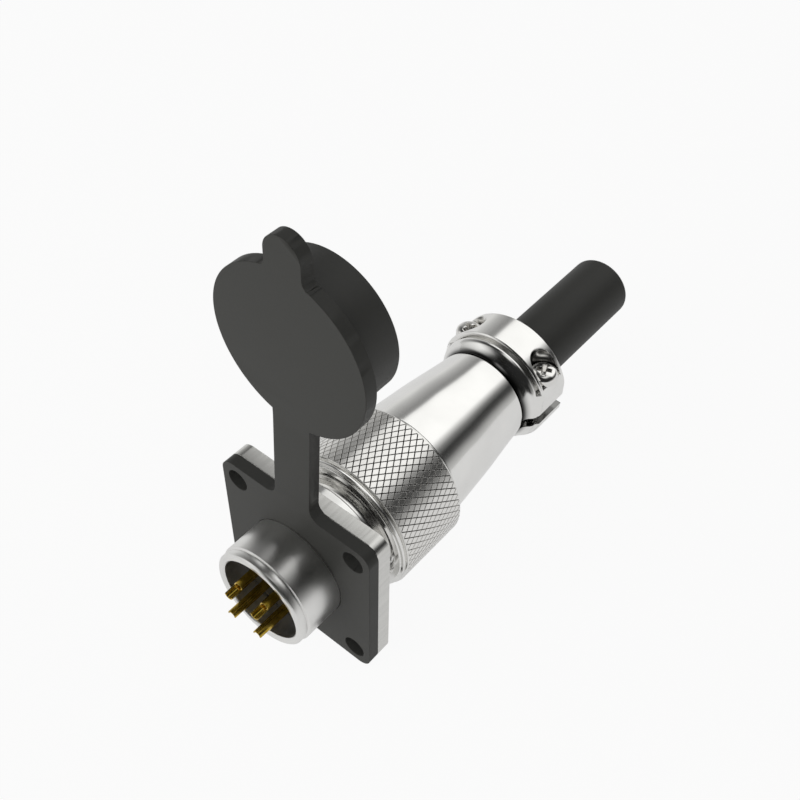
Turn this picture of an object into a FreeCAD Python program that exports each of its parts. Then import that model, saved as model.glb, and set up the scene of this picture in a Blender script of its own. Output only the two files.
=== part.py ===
import FreeCAD, Part
import math
import os

# All sizes are in millimetres. The axis of the connector is Y, pointing to the cable end.
# The origin is the centre of the face that lies on the panel, and Z is up along the strap.

# Small clearances and edges that many pieces share
SLIP = 0.05
RUNNING_FIT = 0.06
PLAY = 0.1
EDGE = 0.3

# How far a cutter reaches past what it cuts, a little and clear of the whole part
OVERRUN = 1.0
FAR = 120.0

# Flange, gasket and fixing holes
FLANGE_SIDE = 35.3
FLANGE_CORNER = 2.8
FLANGE_THICK = 3.1
GASKET_THICK = 2.4
HOLE_FROM_EDGE = 3.8
HOLE_R = 2.3
FLANGE_TOP_Z = FLANGE_SIDE / 2
FLANGE_END_Y = GASKET_THICK + FLANGE_THICK
HOLE_OFFSET = FLANGE_TOP_Z - HOLE_FROM_EDGE

# Solder barrel behind the panel
BARREL_R = 10.75
BARREL_WALL = 1.85
BARREL_LONG = 10.2
BARREL_RIM_LONG = 1.7
BARREL_BORE = BARREL_R - BARREL_WALL
BARREL_MOUTH_Y = -BARREL_LONG
BARREL_LINE_Y = BARREL_MOUTH_Y + BARREL_RIM_LONG

# Collar and threaded mating barrel
THREAD_OVER_BARREL = 1.25
THREAD_LONG = 12.5
THREAD_DEPTH = 0.6
UNDERCUT_LONG = 1.2
COLLAR_OVER_THREAD = 0.7
COLLAR_LONG = 4.5
MATING_WALL = 1.4
SEAT_FROM_FLANGE = 0.4
THREAD_R = BARREL_R + THREAD_OVER_BARREL
THREAD_ROOT_R = THREAD_R - THREAD_DEPTH
COLLAR_R = THREAD_R + COLLAR_OVER_THREAD
COLLAR_END_Y = FLANGE_END_Y + COLLAR_LONG
THREAD_END_Y = COLLAR_END_Y + THREAD_LONG
MATING_BORE = THREAD_R - MATING_WALL
SEAT_Y = GASKET_THICK - SEAT_FROM_FLANGE

# Insulator of the receptacle and what holds it
INSULATOR_SUNK = 5.2
INSULATOR_FLANGE_LONG = 3.0
INSULATOR_NOSE_LONG = 2.0
INSULATOR_NOSE_STEP = 2.3
RETAINER_THICK = 0.8
RETAINER_WIDE = 1.8
RETAINER_BITE = 0.5
RETAINER_GAP = 2.5
SEAL_GAP = 0.2
INSULATOR_FACE_Y = BARREL_MOUTH_Y + INSULATOR_SUNK
INSULATOR_FLANGE_END_Y = SEAT_Y + INSULATOR_FLANGE_LONG
INSULATOR_NOSE_END_Y = INSULATOR_FLANGE_END_Y + INSULATOR_NOSE_LONG
INSULATOR_NOSE_R = MATING_BORE - INSULATOR_NOSE_STEP
RETAINER_Y = INSULATOR_FLANGE_END_Y + SLIP
RETAINER_END_Y = RETAINER_Y + RETAINER_THICK + PLAY

# Contacts
CONTACT_OFFSET = 3.2
CONTACT_FIT = 0.03
CUP_R = 0.95
CUP_BORE = 0.65
CUP_OUT = 4.0
CUP_OPEN = 3.0
PIN_R = 0.8
PIN_LONG = 15.0
PIN_CONE = 0.8
PIN_ROOM = 1.0
PIN_ENTRY_R = 0.95
SHOULDER_R = 1.6
SHOULDER_LONG = 2.0
SOCKET_R = 1.45
SOCKET_LONG = 20.2
SOCKET_SLOT = 0.4
SOCKET_SLOT_SHORT = 3.0
SOCKET_CUP_R = 1.0
SOCKET_CUP_DEEP = 4.0
SOCKET_CUP_OPEN = 3.0
CUP_TIP_Y = BARREL_MOUTH_Y - CUP_OUT
SHOULDER_END_Y = SEAT_Y + SHOULDER_LONG
PIN_TIP_Y = SEAT_Y + PIN_LONG

# Rubber cap and its strap
STRAP_HALF = 4.05
STRAP_FILLET = 2.5
STRAP_LONG = 35.8
HINGE_OVER_FLANGE = 1.55
HINGE_LAP = 1.0
CAP_LEAN = 0.9
CAP_TILT = 1.2
CAP_THICK = 2.4
CAP_LIP = 2.5
CUP_WALL = 1.05
CUP_DEEP = 8.3
TAB_HALF = 3.65
TAB_OUT = 6.6
TAB_FILLET = 1.6
TAB_FILLET_SUNK = 0.4
HINGE_Z = FLANGE_TOP_Z + HINGE_OVER_FLANGE
CAP_Z = HINGE_Z + STRAP_LONG
CAP_BACK_Y = CAP_LEAN + CAP_THICK
CUP_INNER = THREAD_R + SLIP
CUP_OUTER = CUP_INNER + CUP_WALL
CUP_END_Y = CAP_BACK_Y + CUP_DEEP
CAP_R = CUP_OUTER + CAP_LIP
TAB_END_Z = CAP_Z + CAP_R + TAB_OUT - TAB_HALF

# Nose of the plug shell and its insulator
NOSE_FIT = 0.2
NOSE_GAP = 0.6
NOSE_PAST_THREAD = 1.1
NOSE_WALL = 1.4
PLUG_FACE_SUNK = 0.6
PLUG_INSULATOR_LONG = 15.8
SOCKET_SUNK = 0.6
PLUG_RETAINER_LONG = 2.5
PLUG_RETAINER_WALL = 1.6
SPANNER_SLOT = 1.6
SPANNER_SLOT_DEEP = 1.2
SPANNER_TURNS = (45, 135)
NOSE_Y = INSULATOR_NOSE_END_Y + NOSE_GAP
NOSE_R = MATING_BORE - NOSE_FIT
NOSE_END_Y = THREAD_END_Y + NOSE_PAST_THREAD
PLUG_BORE = NOSE_R - NOSE_WALL
PLUG_FACE_Y = NOSE_Y + PLUG_FACE_SUNK
PLUG_INSULATOR_END_Y = PLUG_FACE_Y + PLUG_INSULATOR_LONG
SOCKET_MOUTH_Y = PLUG_FACE_Y + SOCKET_SUNK
SOCKET_END_Y = SOCKET_MOUTH_Y + SOCKET_LONG
PLUG_RETAINER_END_Y = PLUG_INSULATOR_END_Y + PLUG_RETAINER_LONG

# Keys in the mating bore and keyways in the nose: turn in degrees from the top and width
KEYS = [(0, 2.6), (100, 1.6), (150, 1.6), (215, 1.6), (265, 1.6)]
KEY_HIGH = 0.7
KEY_FROM_NOSE = 1.2
KEY_SHORT = 1.5
KEYWAY_PAST_THREAD = 0.2
KEY_FIT = 0.12
KEY_START_Y = NOSE_Y + KEY_FROM_NOSE
KEY_END_Y = THREAD_END_Y - KEY_SHORT

# Coupling ring and the snap ring that holds it
SEAT_OVER_THREAD = 0.3
SNAP_FROM_STEP = 0.7
SNAP_THICK = 0.9
SNAP_SUNK = 0.7
SNAP_OUT = 0.9
SNAP_GAP = 4.0
RELIEF_OVER_SEAT = 1.1
RELIEF_CONE = 0.4
RING_FROM_COLLAR = 2.3
RING_WALL = 3.5
RING_LONG = 17.9
RING_BAND_LONG = 1.0
RING_BAND_STEP = 0.5
RING_LINE_WIDE = 0.5
RING_LINE_STEP = 1.1
RING_MOUTH_OPEN = 1.2
RING_REAR_LONG = 0.9
RING_REAR_STEP = 1.0
KNURL_DEPTH = 0.5
KNURL_COUNT = 66
KNURL_ROWS = 14
RING_SEAT_R = THREAD_R + SEAT_OVER_THREAD
SNAP_Y = NOSE_END_Y + SNAP_FROM_STEP
SNAP_END_Y = SNAP_Y + SNAP_THICK
RING_RELIEF_Y = THREAD_END_Y + RELIEF_CONE
RING_LIP_Y = SNAP_END_Y + RELIEF_CONE
RING_FRONT_Y = COLLAR_END_Y + RING_FROM_COLLAR
RING_BAND_END_Y = RING_FRONT_Y + RING_BAND_LONG
RING_END_Y = RING_FRONT_Y + RING_LONG
KNURL_START_Y = RING_BAND_END_Y + RING_LINE_WIDE
KNURL_END_Y = RING_END_Y - RING_REAR_LONG
RING_R = THREAD_R + RING_WALL
RING_BAND_R = RING_R - RING_BAND_STEP
RING_LINE_R = RING_R - RING_LINE_STEP

# Tapering body of the plug shell: radius over the ring's seat and distance from the body's start
BODY_AFTER_RING = 0.4
BODY_STEPS = [(1.1, 0.4), (0.85, 3.9), (0.4, 8.7), (-0.1, 13.9), (-1.05, 21.4), (-1.55, 25.9)]
BODY_LONG = 26.2
BODY_CONE_LONG = 8.0
BODY_START_Y = RING_END_Y + BODY_AFTER_RING
BODY_END_Y = BODY_START_Y + BODY_LONG
BODY_PROFILE = [(RING_SEAT_R + step, BODY_START_Y + along) for step, along in BODY_STEPS]
BODY_END_R = BODY_PROFILE[-1][0]

# Neck that the clamp grips and seat of the sleeve
NECK_STEP = 1.85
NECK_COLLAR_STEP = 1.4
NECK_COLLAR_AFTER = 1.6
NECK_COLLAR_LONG = 1.5
SLEEVE_FROM_NECK = 1.7
SLEEVE_SUNK = 6.8
SLEEVE_STOP = 1.5
NECK_R = BODY_END_R - NECK_STEP
NECK_COLLAR_R = NECK_R + NECK_COLLAR_STEP
NECK_COLLAR_Y = BODY_END_Y + NECK_COLLAR_AFTER
NECK_END_Y = NECK_COLLAR_Y + NECK_COLLAR_LONG

# Rubber cable sleeve
SLEEVE_WALL = 1.6
SLEEVE_LONG = 53.6
SLEEVE_ROUND = 0.9
SLEEVE_ROUND_STEPS = 4
SLEEVE_R = NECK_R - SLEEVE_FROM_NECK
SLEEVE_BORE = SLEEVE_R - SLEEVE_WALL
SLEEVE_SEAT_Y = BODY_END_Y - SLEEVE_SUNK
SLEEVE_END_Y = SLEEVE_SEAT_Y + SLEEVE_LONG

# Cable clamp: radius over the shell's end and distance from it, along the flared rim
CLAMP_FIT = 0.2
CLAMP_RIM_STEPS = [(0.0, 0.2), (0.3, 0.9), (0.75, 1.7), (1.35, 2.3), (1.65, 2.9), (1.65, 3.3), (1.45, 3.5)]
CLAMP_LINE_STEP = 0.95
CLAMP_LINE_WIDE = 0.6
CLAMP_BODY_STEP = 2.55
CLAMP_BODY_LONG = 8.0
CLAMP_FLAT_STEP = 0.7
CLAMP_UPPER_Z = -0.4
CLAMP_LOWER_Z = -3.2
CLAMP_RIM = [(BODY_END_R + step, BODY_END_Y + along) for step, along in CLAMP_RIM_STEPS]
CLAMP_START_Y = CLAMP_RIM[0][1]
CLAMP_LINE_R = BODY_END_R + CLAMP_LINE_STEP
CLAMP_LINE_Y = CLAMP_RIM[-1][1]
CLAMP_BODY_Y = CLAMP_LINE_Y + CLAMP_LINE_WIDE
CLAMP_R = BODY_END_R + CLAMP_BODY_STEP
CLAMP_END_Y = CLAMP_BODY_Y + CLAMP_BODY_LONG
CLAMP_FLAT_X = CLAMP_R - CLAMP_FLAT_STEP

# Clamp screws
SCREW_FROM_FLAT = 3.0
SCREW_FROM_BODY = 3.8
SCREW_SEAT_Z = 5.9
SCREW_HEAD_R = 2.8
SCREW_HEAD_SIDE = 1.3
SCREW_HEAD_EDGE = 0.65
SCREW_HEAD_EDGE_IN = 0.35
SCREW_HEAD_CROWN = 0.1
SCREW_HEAD_CROWN_IN = 1.1
SCREW_HEAD_HIGH = 2.4
SCREW_SHANK_R = 1.48
SCREW_TIP = 0.4
SCREW_END_Z = -7.2
SCREW_THREAD_FIT = 0.03
SCREW_HOLE_GAP = 0.22
SCREW_TURN = 25
POCKET_GAP = 0.4
RECESS_LONG = 3.2
RECESS_WIDE = 0.8
RECESS_DEEP = 1.4
SCREW_X = CLAMP_FLAT_X - SCREW_FROM_FLAT
SCREW_Y = CLAMP_BODY_Y + SCREW_FROM_BODY
SCREW_TOP_Z = SCREW_SEAT_Z + SCREW_HEAD_HIGH
POCKET_R = SCREW_HEAD_R + POCKET_GAP


def turned(points, axis=FreeCAD.Vector(0, 1, 0)):
    """Turn a closed outline of (radius, height) points round an axis through the origin."""
    if axis.y:
        corners = [FreeCAD.Vector(r, height, 0) for r, height in points]
    else:
        corners = [FreeCAD.Vector(r, 0, height) for r, height in points]
    face = Part.Face(Part.makePolygon(corners + [corners[0]]))
    return face.revolve(FreeCAD.Vector(0, 0, 0), axis, 360)


def rod(radius, y_low, y_high, x=0.0, z=0.0):
    """A cylinder along Y between two stations."""
    base = FreeCAD.Vector(x, y_low, z)
    return Part.makeCylinder(radius, y_high - y_low, base, FreeCAD.Vector(0, 1, 0))


def tube(r_in, r_out, y_low, y_high):
    """A plain ring round the axis between two stations."""
    return rod(r_out, y_low, y_high).cut(rod(r_in, y_low - OVERRUN, y_high + OVERRUN))


def pillar(radius, z_low, z_high, x, y):
    """A cylinder along Z between two heights."""
    base = FreeCAD.Vector(x, y, z_low)
    return Part.makeCylinder(radius, z_high - z_low, base, FreeCAD.Vector(0, 0, 1))


def block(x_limits, y_limits, z_limits):
    """A box given by its limits along X, Y and Z, in any order."""
    low = [min(limits) for limits in (x_limits, y_limits, z_limits)]
    high = [max(limits) for limits in (x_limits, y_limits, z_limits)]
    sizes = [b - a for a, b in zip(low, high)]
    return Part.makeBox(sizes[0], sizes[1], sizes[2], FreeCAD.Vector(low[0], low[1], low[2]))


def both_ways(half):
    """Limits at minus and plus one distance."""
    return (-half, half)


def rounded_square(side, corner, y_low, y_high):
    """A square plate across Y with rounded corners."""
    plate = block(both_ways(side / 2), (y_low, y_high), both_ways(side / 2))
    upright = (y_high - y_low) / 2
    edges = [e for e in plate.Edges if abs(e.Vertexes[0].Y - e.Vertexes[-1].Y) > upright]
    return plate.makeFillet(corner, edges)


def corner_places(offset):
    """The four places at plus and minus one offset in X and Z."""
    return [(sx * offset, sz * offset) for sz in (1, -1) for sx in (-1, 1)]


def drill_corners(plate, y_low, y_high):
    """Cut the four fixing holes through a plate."""
    for x, z in corner_places(HOLE_OFFSET):
        plate = plate.cut(rod(HOLE_R, y_low - OVERRUN, y_high + OVERRUN, x, z))
    return plate


def save(name, shape):
    """Write one piece to its own file."""
    shape.exportStep("parts/" + name + ".step")


def keys(r_in, r_out, y_low, y_high, wider):
    """Bars along Y at the keys' places, each wider than its key by a clearance on both sides."""
    bars = []
    for turn, width in KEYS:
        bar = block(both_ways(width / 2 + wider), (y_low, y_high), (r_in, r_out))
        bar.rotate(FreeCAD.Vector(0, 0, 0), FreeCAD.Vector(0, 1, 0), turn)
        bars.append(bar)
    return bars


def receptacle_shell():
    """Flange, solder barrel, collar and threaded mating barrel in one piece."""
    outline = [
        (BARREL_BORE, BARREL_MOUTH_Y + EDGE), (BARREL_BORE + EDGE, BARREL_MOUTH_Y),
        (BARREL_R - 2 * EDGE, BARREL_MOUTH_Y), (BARREL_R - EDGE, BARREL_MOUTH_Y + EDGE),
        (BARREL_R - EDGE, BARREL_LINE_Y), (BARREL_R, BARREL_LINE_Y + EDGE),
        (BARREL_R, FLANGE_END_Y - EDGE), (COLLAR_R, FLANGE_END_Y - EDGE),
        (COLLAR_R, COLLAR_END_Y - EDGE), (COLLAR_R - EDGE, COLLAR_END_Y),
        (THREAD_ROOT_R, COLLAR_END_Y), (THREAD_ROOT_R, COLLAR_END_Y + UNDERCUT_LONG),
        (THREAD_R, COLLAR_END_Y + UNDERCUT_LONG + THREAD_DEPTH), (THREAD_R, THREAD_END_Y - THREAD_DEPTH),
        (THREAD_ROOT_R, THREAD_END_Y), (MATING_BORE + EDGE, THREAD_END_Y),
        (MATING_BORE, THREAD_END_Y - EDGE), (MATING_BORE, SEAT_Y), (BARREL_BORE, SEAT_Y),
    ]
    plate = rounded_square(FLANGE_SIDE, FLANGE_CORNER, GASKET_THICK, FLANGE_END_Y)
    plate = drill_corners(plate, GASKET_THICK, FLANGE_END_Y)
    middle_of_wall = (MATING_BORE + BARREL_R) / 2
    plate = plate.cut(rod(middle_of_wall, GASKET_THICK - OVERRUN, FLANGE_END_Y + OVERRUN))
    body = plate.fuse(turned(outline))
    groove = tube(MATING_BORE - OVERRUN, MATING_BORE + RETAINER_BITE, RETAINER_Y, RETAINER_END_Y + PLAY)
    middle_of_thread = (MATING_BORE + THREAD_ROOT_R) / 2
    ribs = keys(MATING_BORE - KEY_HIGH, middle_of_thread, KEY_START_Y, KEY_END_Y, 0)
    return body.cut(groove).fuse(ribs).removeSplitter()


def corner_web(x, z, side, radius, y_low, y_high):
    """The filling of an inner corner that opens upwards, with its round hollowed out."""
    x_far = x + side * radius
    z_far = z + radius
    web = block((x, x_far), (y_low, y_high), (z, z_far))
    return web.cut(rod(radius, y_low - OVERRUN, y_high + OVERRUN, x_far, z_far))


def flange_gasket():
    """The gasket with the foot of the strap."""
    plate = rounded_square(FLANGE_SIDE, FLANGE_CORNER, 0, GASKET_THICK)
    foot = block(both_ways(STRAP_HALF), (0, GASKET_THICK), (FLANGE_TOP_Z - STRAP_FILLET, HINGE_Z))
    body = plate.fuse(foot)
    for side in (-1, 1):
        web = corner_web(side * STRAP_HALF, FLANGE_TOP_Z, side, HINGE_OVER_FLANGE, 0, GASKET_THICK)
        body = body.fuse(web)
    body = drill_corners(body, 0, GASKET_THICK)
    body = body.cut(rod(BARREL_R + SLIP, -OVERRUN, GASKET_THICK + OVERRUN))
    return body.removeSplitter()


def dust_cap():
    """The strap above the hinge line, with the cap's disc, its tab and its cup."""
    strap_top = CAP_Z - CAP_R
    side_view = [
        (0, HINGE_Z - HINGE_LAP), (0, HINGE_Z), (CAP_LEAN, strap_top), (CAP_LEAN, CAP_Z),
        (CAP_BACK_Y, CAP_Z), (CAP_BACK_Y, strap_top), (GASKET_THICK, HINGE_Z), (GASKET_THICK, HINGE_Z - HINGE_LAP),
    ]
    corners = [FreeCAD.Vector(-STRAP_HALF, y, z) for y, z in side_view]
    strap = Part.Face(Part.makePolygon(corners + [corners[0]]))
    strap = strap.extrude(FreeCAD.Vector(2 * STRAP_HALF, 0, 0))
    plate = rod(CAP_R, CAP_LEAN, CAP_BACK_Y, 0, CAP_Z)
    tab = block(both_ways(TAB_HALF), (CAP_LEAN, CAP_BACK_Y), (CAP_Z, TAB_END_Z))
    tab = tab.fuse(rod(TAB_HALF, CAP_LEAN, CAP_BACK_Y, 0, TAB_END_Z))
    body = plate.fuse([strap, tab])
    tab_root = CAP_Z + math.sqrt(CAP_R ** 2 - TAB_HALF ** 2) - TAB_FILLET_SUNK
    for side in (-1, 1):
        body = body.fuse(corner_web(side * TAB_HALF, tab_root, side, TAB_FILLET, CAP_LEAN, CAP_BACK_Y))
    body = body.fuse(rod(CUP_OUTER, CAP_BACK_Y - EDGE, CUP_END_Y, 0, CAP_Z))
    body = body.cut(rod(CUP_INNER, CAP_BACK_Y, CUP_END_Y + OVERRUN, 0, CAP_Z))
    mouth = [e for e in body.Edges if e.BoundBox.YMin > CUP_END_Y - SLIP]
    body = body.makeFillet(EDGE, mouth).removeSplitter()
    body.rotate(FreeCAD.Vector(0, 0, HINGE_Z), FreeCAD.Vector(0, 1, 0), CAP_TILT)
    below = block(both_ways(FAR), both_ways(FAR), (HINGE_Z - FAR, HINGE_Z))
    return body.cut(below)


def receptacle_insulator():
    """The insulator that carries the pins."""
    r_stem = BARREL_BORE - SLIP
    r_flange = MATING_BORE - SLIP
    body = turned([
        (0, INSULATOR_FACE_Y), (r_stem - EDGE, INSULATOR_FACE_Y), (r_stem, INSULATOR_FACE_Y + EDGE),
        (r_stem, SEAT_Y + SLIP), (r_flange, SEAT_Y + SLIP), (r_flange, INSULATOR_FLANGE_END_Y),
        (INSULATOR_NOSE_R, INSULATOR_FLANGE_END_Y), (INSULATOR_NOSE_R, INSULATOR_NOSE_END_Y - EDGE),
        (INSULATOR_NOSE_R - EDGE, INSULATOR_NOSE_END_Y), (0, INSULATOR_NOSE_END_Y),
    ])
    for x, z in corner_places(CONTACT_OFFSET):
        body = body.cut(rod(CUP_R + CONTACT_FIT, INSULATOR_FACE_Y - OVERRUN, SEAT_Y, x, z))
        body = body.cut(rod(SHOULDER_R + CONTACT_FIT, SEAT_Y, SHOULDER_END_Y + CONTACT_FIT, x, z))
        body = body.cut(rod(PIN_R + CONTACT_FIT, SEAT_Y, INSULATOR_NOSE_END_Y + OVERRUN, x, z))
    return body


def solder_cup(open_side):
    """The cutter for a solder cup: a blind bore and the open side of its trough."""
    bore = rod(CUP_BORE, CUP_TIP_Y - OVERRUN, CUP_TIP_Y + CUP_OPEN)
    trough = (CUP_TIP_Y - OVERRUN, CUP_TIP_Y + CUP_OPEN - CUP_BORE)
    side = block(both_ways(2 * CUP_R), trough, (0, 2 * CUP_R * open_side))
    return bore.fuse(side)


def contact_pin(x, z, open_side):
    """A pin with its shoulder and its solder cup."""
    stem = rod(CUP_R, CUP_TIP_Y, SEAT_Y + CONTACT_FIT)
    shoulder = rod(SHOULDER_R, SEAT_Y + CONTACT_FIT, SHOULDER_END_Y)
    pin = turned([
        (0, SEAT_Y), (PIN_R, SEAT_Y), (PIN_R, PIN_TIP_Y - PIN_CONE),
        (PIN_R - PIN_CONE / 4, PIN_TIP_Y - PIN_CONE / 2), (PIN_R - PIN_CONE / 2, PIN_TIP_Y), (0, PIN_TIP_Y),
    ])
    body = stem.fuse([shoulder, pin])
    body = body.cut(solder_cup(open_side))
    body.translate(FreeCAD.Vector(x, 0, z))
    return body.removeSplitter()


def split_ring(r_in, r_out, y_low, y_high, gap, side):
    """A flat ring with a gap at the side given by its sign along Z."""
    ring = tube(r_in, r_out, y_low, y_high)
    return ring.cut(block(both_ways(gap / 2), (y_low - OVERRUN, y_high + OVERRUN), (0, side * 2 * r_out)))


def receptacle_retaining_ring():
    """The split ring behind the insulator's flange."""
    r_out = MATING_BORE + RETAINER_BITE - PLAY
    y_low = RETAINER_Y + SLIP
    return split_ring(r_out - RETAINER_WIDE, r_out, y_low, y_low + RETAINER_THICK, RETAINER_GAP, 1)


def interface_seal():
    """The rubber ring that the plug's nose meets."""
    return tube(INSULATOR_NOSE_R + SEAL_GAP, MATING_BORE - SLIP, RETAINER_END_Y + PLAY + SLIP, NOSE_Y - SLIP)


def body_curve():
    """The tapering outer line of the plug shell as one smooth edge."""
    curve = Part.BSplineCurve()
    curve.interpolate([FreeCAD.Vector(r, y, 0) for r, y in BODY_PROFILE])
    return curve.toShape()


def plug_shell():
    """Nose, tapering body and neck of the cable half in one piece."""
    first = BODY_PROFILE[0]
    last = BODY_PROFILE[-1]
    seat_bore = SLEEVE_R + SLIP
    before = [
        (PLUG_BORE + EDGE, NOSE_Y), (NOSE_R - EDGE, NOSE_Y), (NOSE_R, NOSE_Y + EDGE),
        (NOSE_R, NOSE_END_Y), (RING_SEAT_R - EDGE, NOSE_END_Y), (RING_SEAT_R, NOSE_END_Y + EDGE),
        (RING_SEAT_R, BODY_START_Y), (first[0] - EDGE, BODY_START_Y), first,
    ]
    after = [
        last, (last[0] - EDGE, BODY_END_Y), (NECK_R, BODY_END_Y), (NECK_R, NECK_COLLAR_Y),
        (NECK_COLLAR_R, NECK_COLLAR_Y), (NECK_COLLAR_R, NECK_END_Y), (seat_bore, NECK_END_Y),
        (seat_bore, SLEEVE_SEAT_Y), (SLEEVE_BORE, SLEEVE_SEAT_Y), (SLEEVE_BORE, SLEEVE_SEAT_Y - SLEEVE_STOP),
        (PLUG_BORE, SLEEVE_SEAT_Y - BODY_CONE_LONG), (PLUG_BORE, NOSE_Y + EDGE), before[0],
    ]
    edges = Part.makePolygon([FreeCAD.Vector(r, y, 0) for r, y in before]).Edges
    edges.append(body_curve())
    edges += Part.makePolygon([FreeCAD.Vector(r, y, 0) for r, y in after]).Edges
    face = Part.Face(Part.Wire(Part.__sortEdges__(edges)))
    body = face.revolve(FreeCAD.Vector(0, 0, 0), FreeCAD.Vector(0, 1, 0), 360)
    floor_r = RING_SEAT_R - SNAP_SUNK - PLAY
    body = body.cut(tube(floor_r, RING_SEAT_R + OVERRUN, SNAP_Y - PLAY, SNAP_END_Y + PLAY))
    keyway_floor = MATING_BORE - KEY_HIGH - KEY_FIT
    keyway_end = THREAD_END_Y + KEYWAY_PAST_THREAD
    return body.cut(keys(keyway_floor, NOSE_R + OVERRUN, NOSE_Y - OVERRUN, keyway_end, KEY_FIT))


def plug_insulator():
    """The insulator that carries the sockets."""
    radius = PLUG_BORE - SLIP
    body = turned([
        (0, PLUG_FACE_Y), (radius - EDGE, PLUG_FACE_Y), (radius, PLUG_FACE_Y + EDGE),
        (radius, PLUG_INSULATOR_END_Y), (0, PLUG_INSULATOR_END_Y),
    ])
    for x, z in corner_places(CONTACT_OFFSET):
        seat_y = SOCKET_MOUTH_Y - CONTACT_FIT
        body = body.cut(rod(PIN_ENTRY_R, PLUG_FACE_Y - OVERRUN, SOCKET_MOUTH_Y, x, z))
        body = body.cut(rod(SOCKET_R + CONTACT_FIT, seat_y, PLUG_INSULATOR_END_Y + OVERRUN, x, z))
    return body


def socket_contact(x, z):
    """A slotted socket with a solder cup at its other end."""
    pin_depth = PIN_TIP_Y + PIN_ROOM
    before = SOCKET_MOUTH_Y - OVERRUN
    after = SOCKET_END_Y + OVERRUN
    body = rod(SOCKET_R, SOCKET_MOUTH_Y, SOCKET_END_Y)
    body = body.cut(rod(PIN_R + CONTACT_FIT, before, pin_depth))
    slot_end = pin_depth - SOCKET_SLOT_SHORT
    body = body.cut(block(both_ways(SOCKET_SLOT / 2), (before, slot_end), both_ways(2 * SOCKET_R)))
    body = body.cut(rod(SOCKET_CUP_R, SOCKET_END_Y - SOCKET_CUP_DEEP, after))
    body = body.cut(block(both_ways(2 * SOCKET_R), (SOCKET_END_Y - SOCKET_CUP_OPEN, after), (0, 2 * SOCKET_R)))
    body.translate(FreeCAD.Vector(x, 0, z))
    return body


def plug_retaining_ring():
    """The ring behind the plug's insulator, with slots for a spanner."""
    r_out = PLUG_BORE - SLIP
    ring = tube(PLUG_BORE - PLUG_RETAINER_WALL, r_out, PLUG_INSULATOR_END_Y + SLIP, PLUG_RETAINER_END_Y)
    along = (PLUG_RETAINER_END_Y - SPANNER_SLOT_DEEP, PLUG_RETAINER_END_Y + OVERRUN)
    for turn in SPANNER_TURNS:
        slot = block(both_ways(SPANNER_SLOT / 2), along, both_ways(2 * r_out))
        slot.rotate(FreeCAD.Vector(0, 0, 0), FreeCAD.Vector(0, 1, 0), turn)
        ring = ring.cut(slot)
    return ring


def knurled_drum():
    """A closed drum covered with raised diamonds, in staggered rows along Y."""
    step = 2 * math.pi / KNURL_COUNT
    rise = (KNURL_END_Y - KNURL_START_Y) / KNURL_ROWS
    low = RING_R - KNURL_DEPTH

    def place(radius, row, turn):
        """One corner, with the turn counted in half steps."""
        angle = turn * step / 2
        return FreeCAD.Vector(radius * math.cos(angle), KNURL_START_Y + row * rise, radius * math.sin(angle))

    faces = []
    for row in range(KNURL_ROWS + 1):
        for index in range(KNURL_COUNT):
            middle = 2 * index + 1 + row % 2
            ring = [place(low, row, middle - 1)]
            if row > 0:
                ring.append(place(low, row - 1, middle))
            ring.append(place(low, row, middle + 1))
            if row < KNURL_ROWS:
                ring.append(place(low, row + 1, middle))
            if row in (0, KNURL_ROWS):
                faces.append(Part.Face(Part.makePolygon(ring + [ring[0]])))
                continue
            peak = place(RING_R, row, middle)
            for one, other in zip(ring, ring[1:] + [ring[0]]):
                faces.append(Part.Face(Part.makePolygon([one, other, peak, one])))
    for row in (0, KNURL_ROWS):
        rim = [place(low, row, 2 * index + row % 2) for index in range(KNURL_COUNT)]
        faces.append(Part.Face(Part.makePolygon(rim + [rim[0]])))
    return Part.Solid(Part.Shell(faces))


def coupling_ring():
    """The knurled ring that draws both halves together."""
    rear_r = RING_R - KNURL_DEPTH - PLAY
    thread_r = THREAD_R + RUNNING_FIT
    relief_r = RING_SEAT_R + RELIEF_OVER_SEAT
    seat_r = RING_SEAT_R + SLIP
    before = RING_FRONT_Y - OVERRUN
    after = RING_END_Y + OVERRUN
    front = turned([
        (0, RING_FRONT_Y), (RING_BAND_R - 2 * EDGE, RING_FRONT_Y), (RING_BAND_R, RING_FRONT_Y + EDGE),
        (RING_BAND_R, RING_BAND_END_Y), (RING_LINE_R, RING_BAND_END_Y),
        (RING_LINE_R, KNURL_START_Y), (0, KNURL_START_Y),
    ])
    rear = turned([
        (0, KNURL_END_Y), (rear_r, KNURL_END_Y), (RING_R - RING_REAR_STEP, RING_END_Y), (0, RING_END_Y),
    ])
    inside = turned([
        (0, before), (THREAD_R + RING_MOUTH_OPEN, before), (THREAD_R + RING_MOUTH_OPEN, RING_FRONT_Y),
        (thread_r, RING_FRONT_Y + RING_MOUTH_OPEN), (thread_r, RING_RELIEF_Y),
        (relief_r, RING_RELIEF_Y + RELIEF_CONE), (relief_r, RING_LIP_Y), (seat_r, RING_LIP_Y),
        (seat_r, after), (0, after),
    ])
    return knurled_drum().fuse([front, rear]).cut(inside)


def coupling_snap_ring():
    """The split ring in the plug shell's groove that holds the coupling ring."""
    return split_ring(RING_SEAT_R - SNAP_SUNK, RING_SEAT_R + SNAP_OUT, SNAP_Y, SNAP_END_Y, SNAP_GAP, -1)


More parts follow.
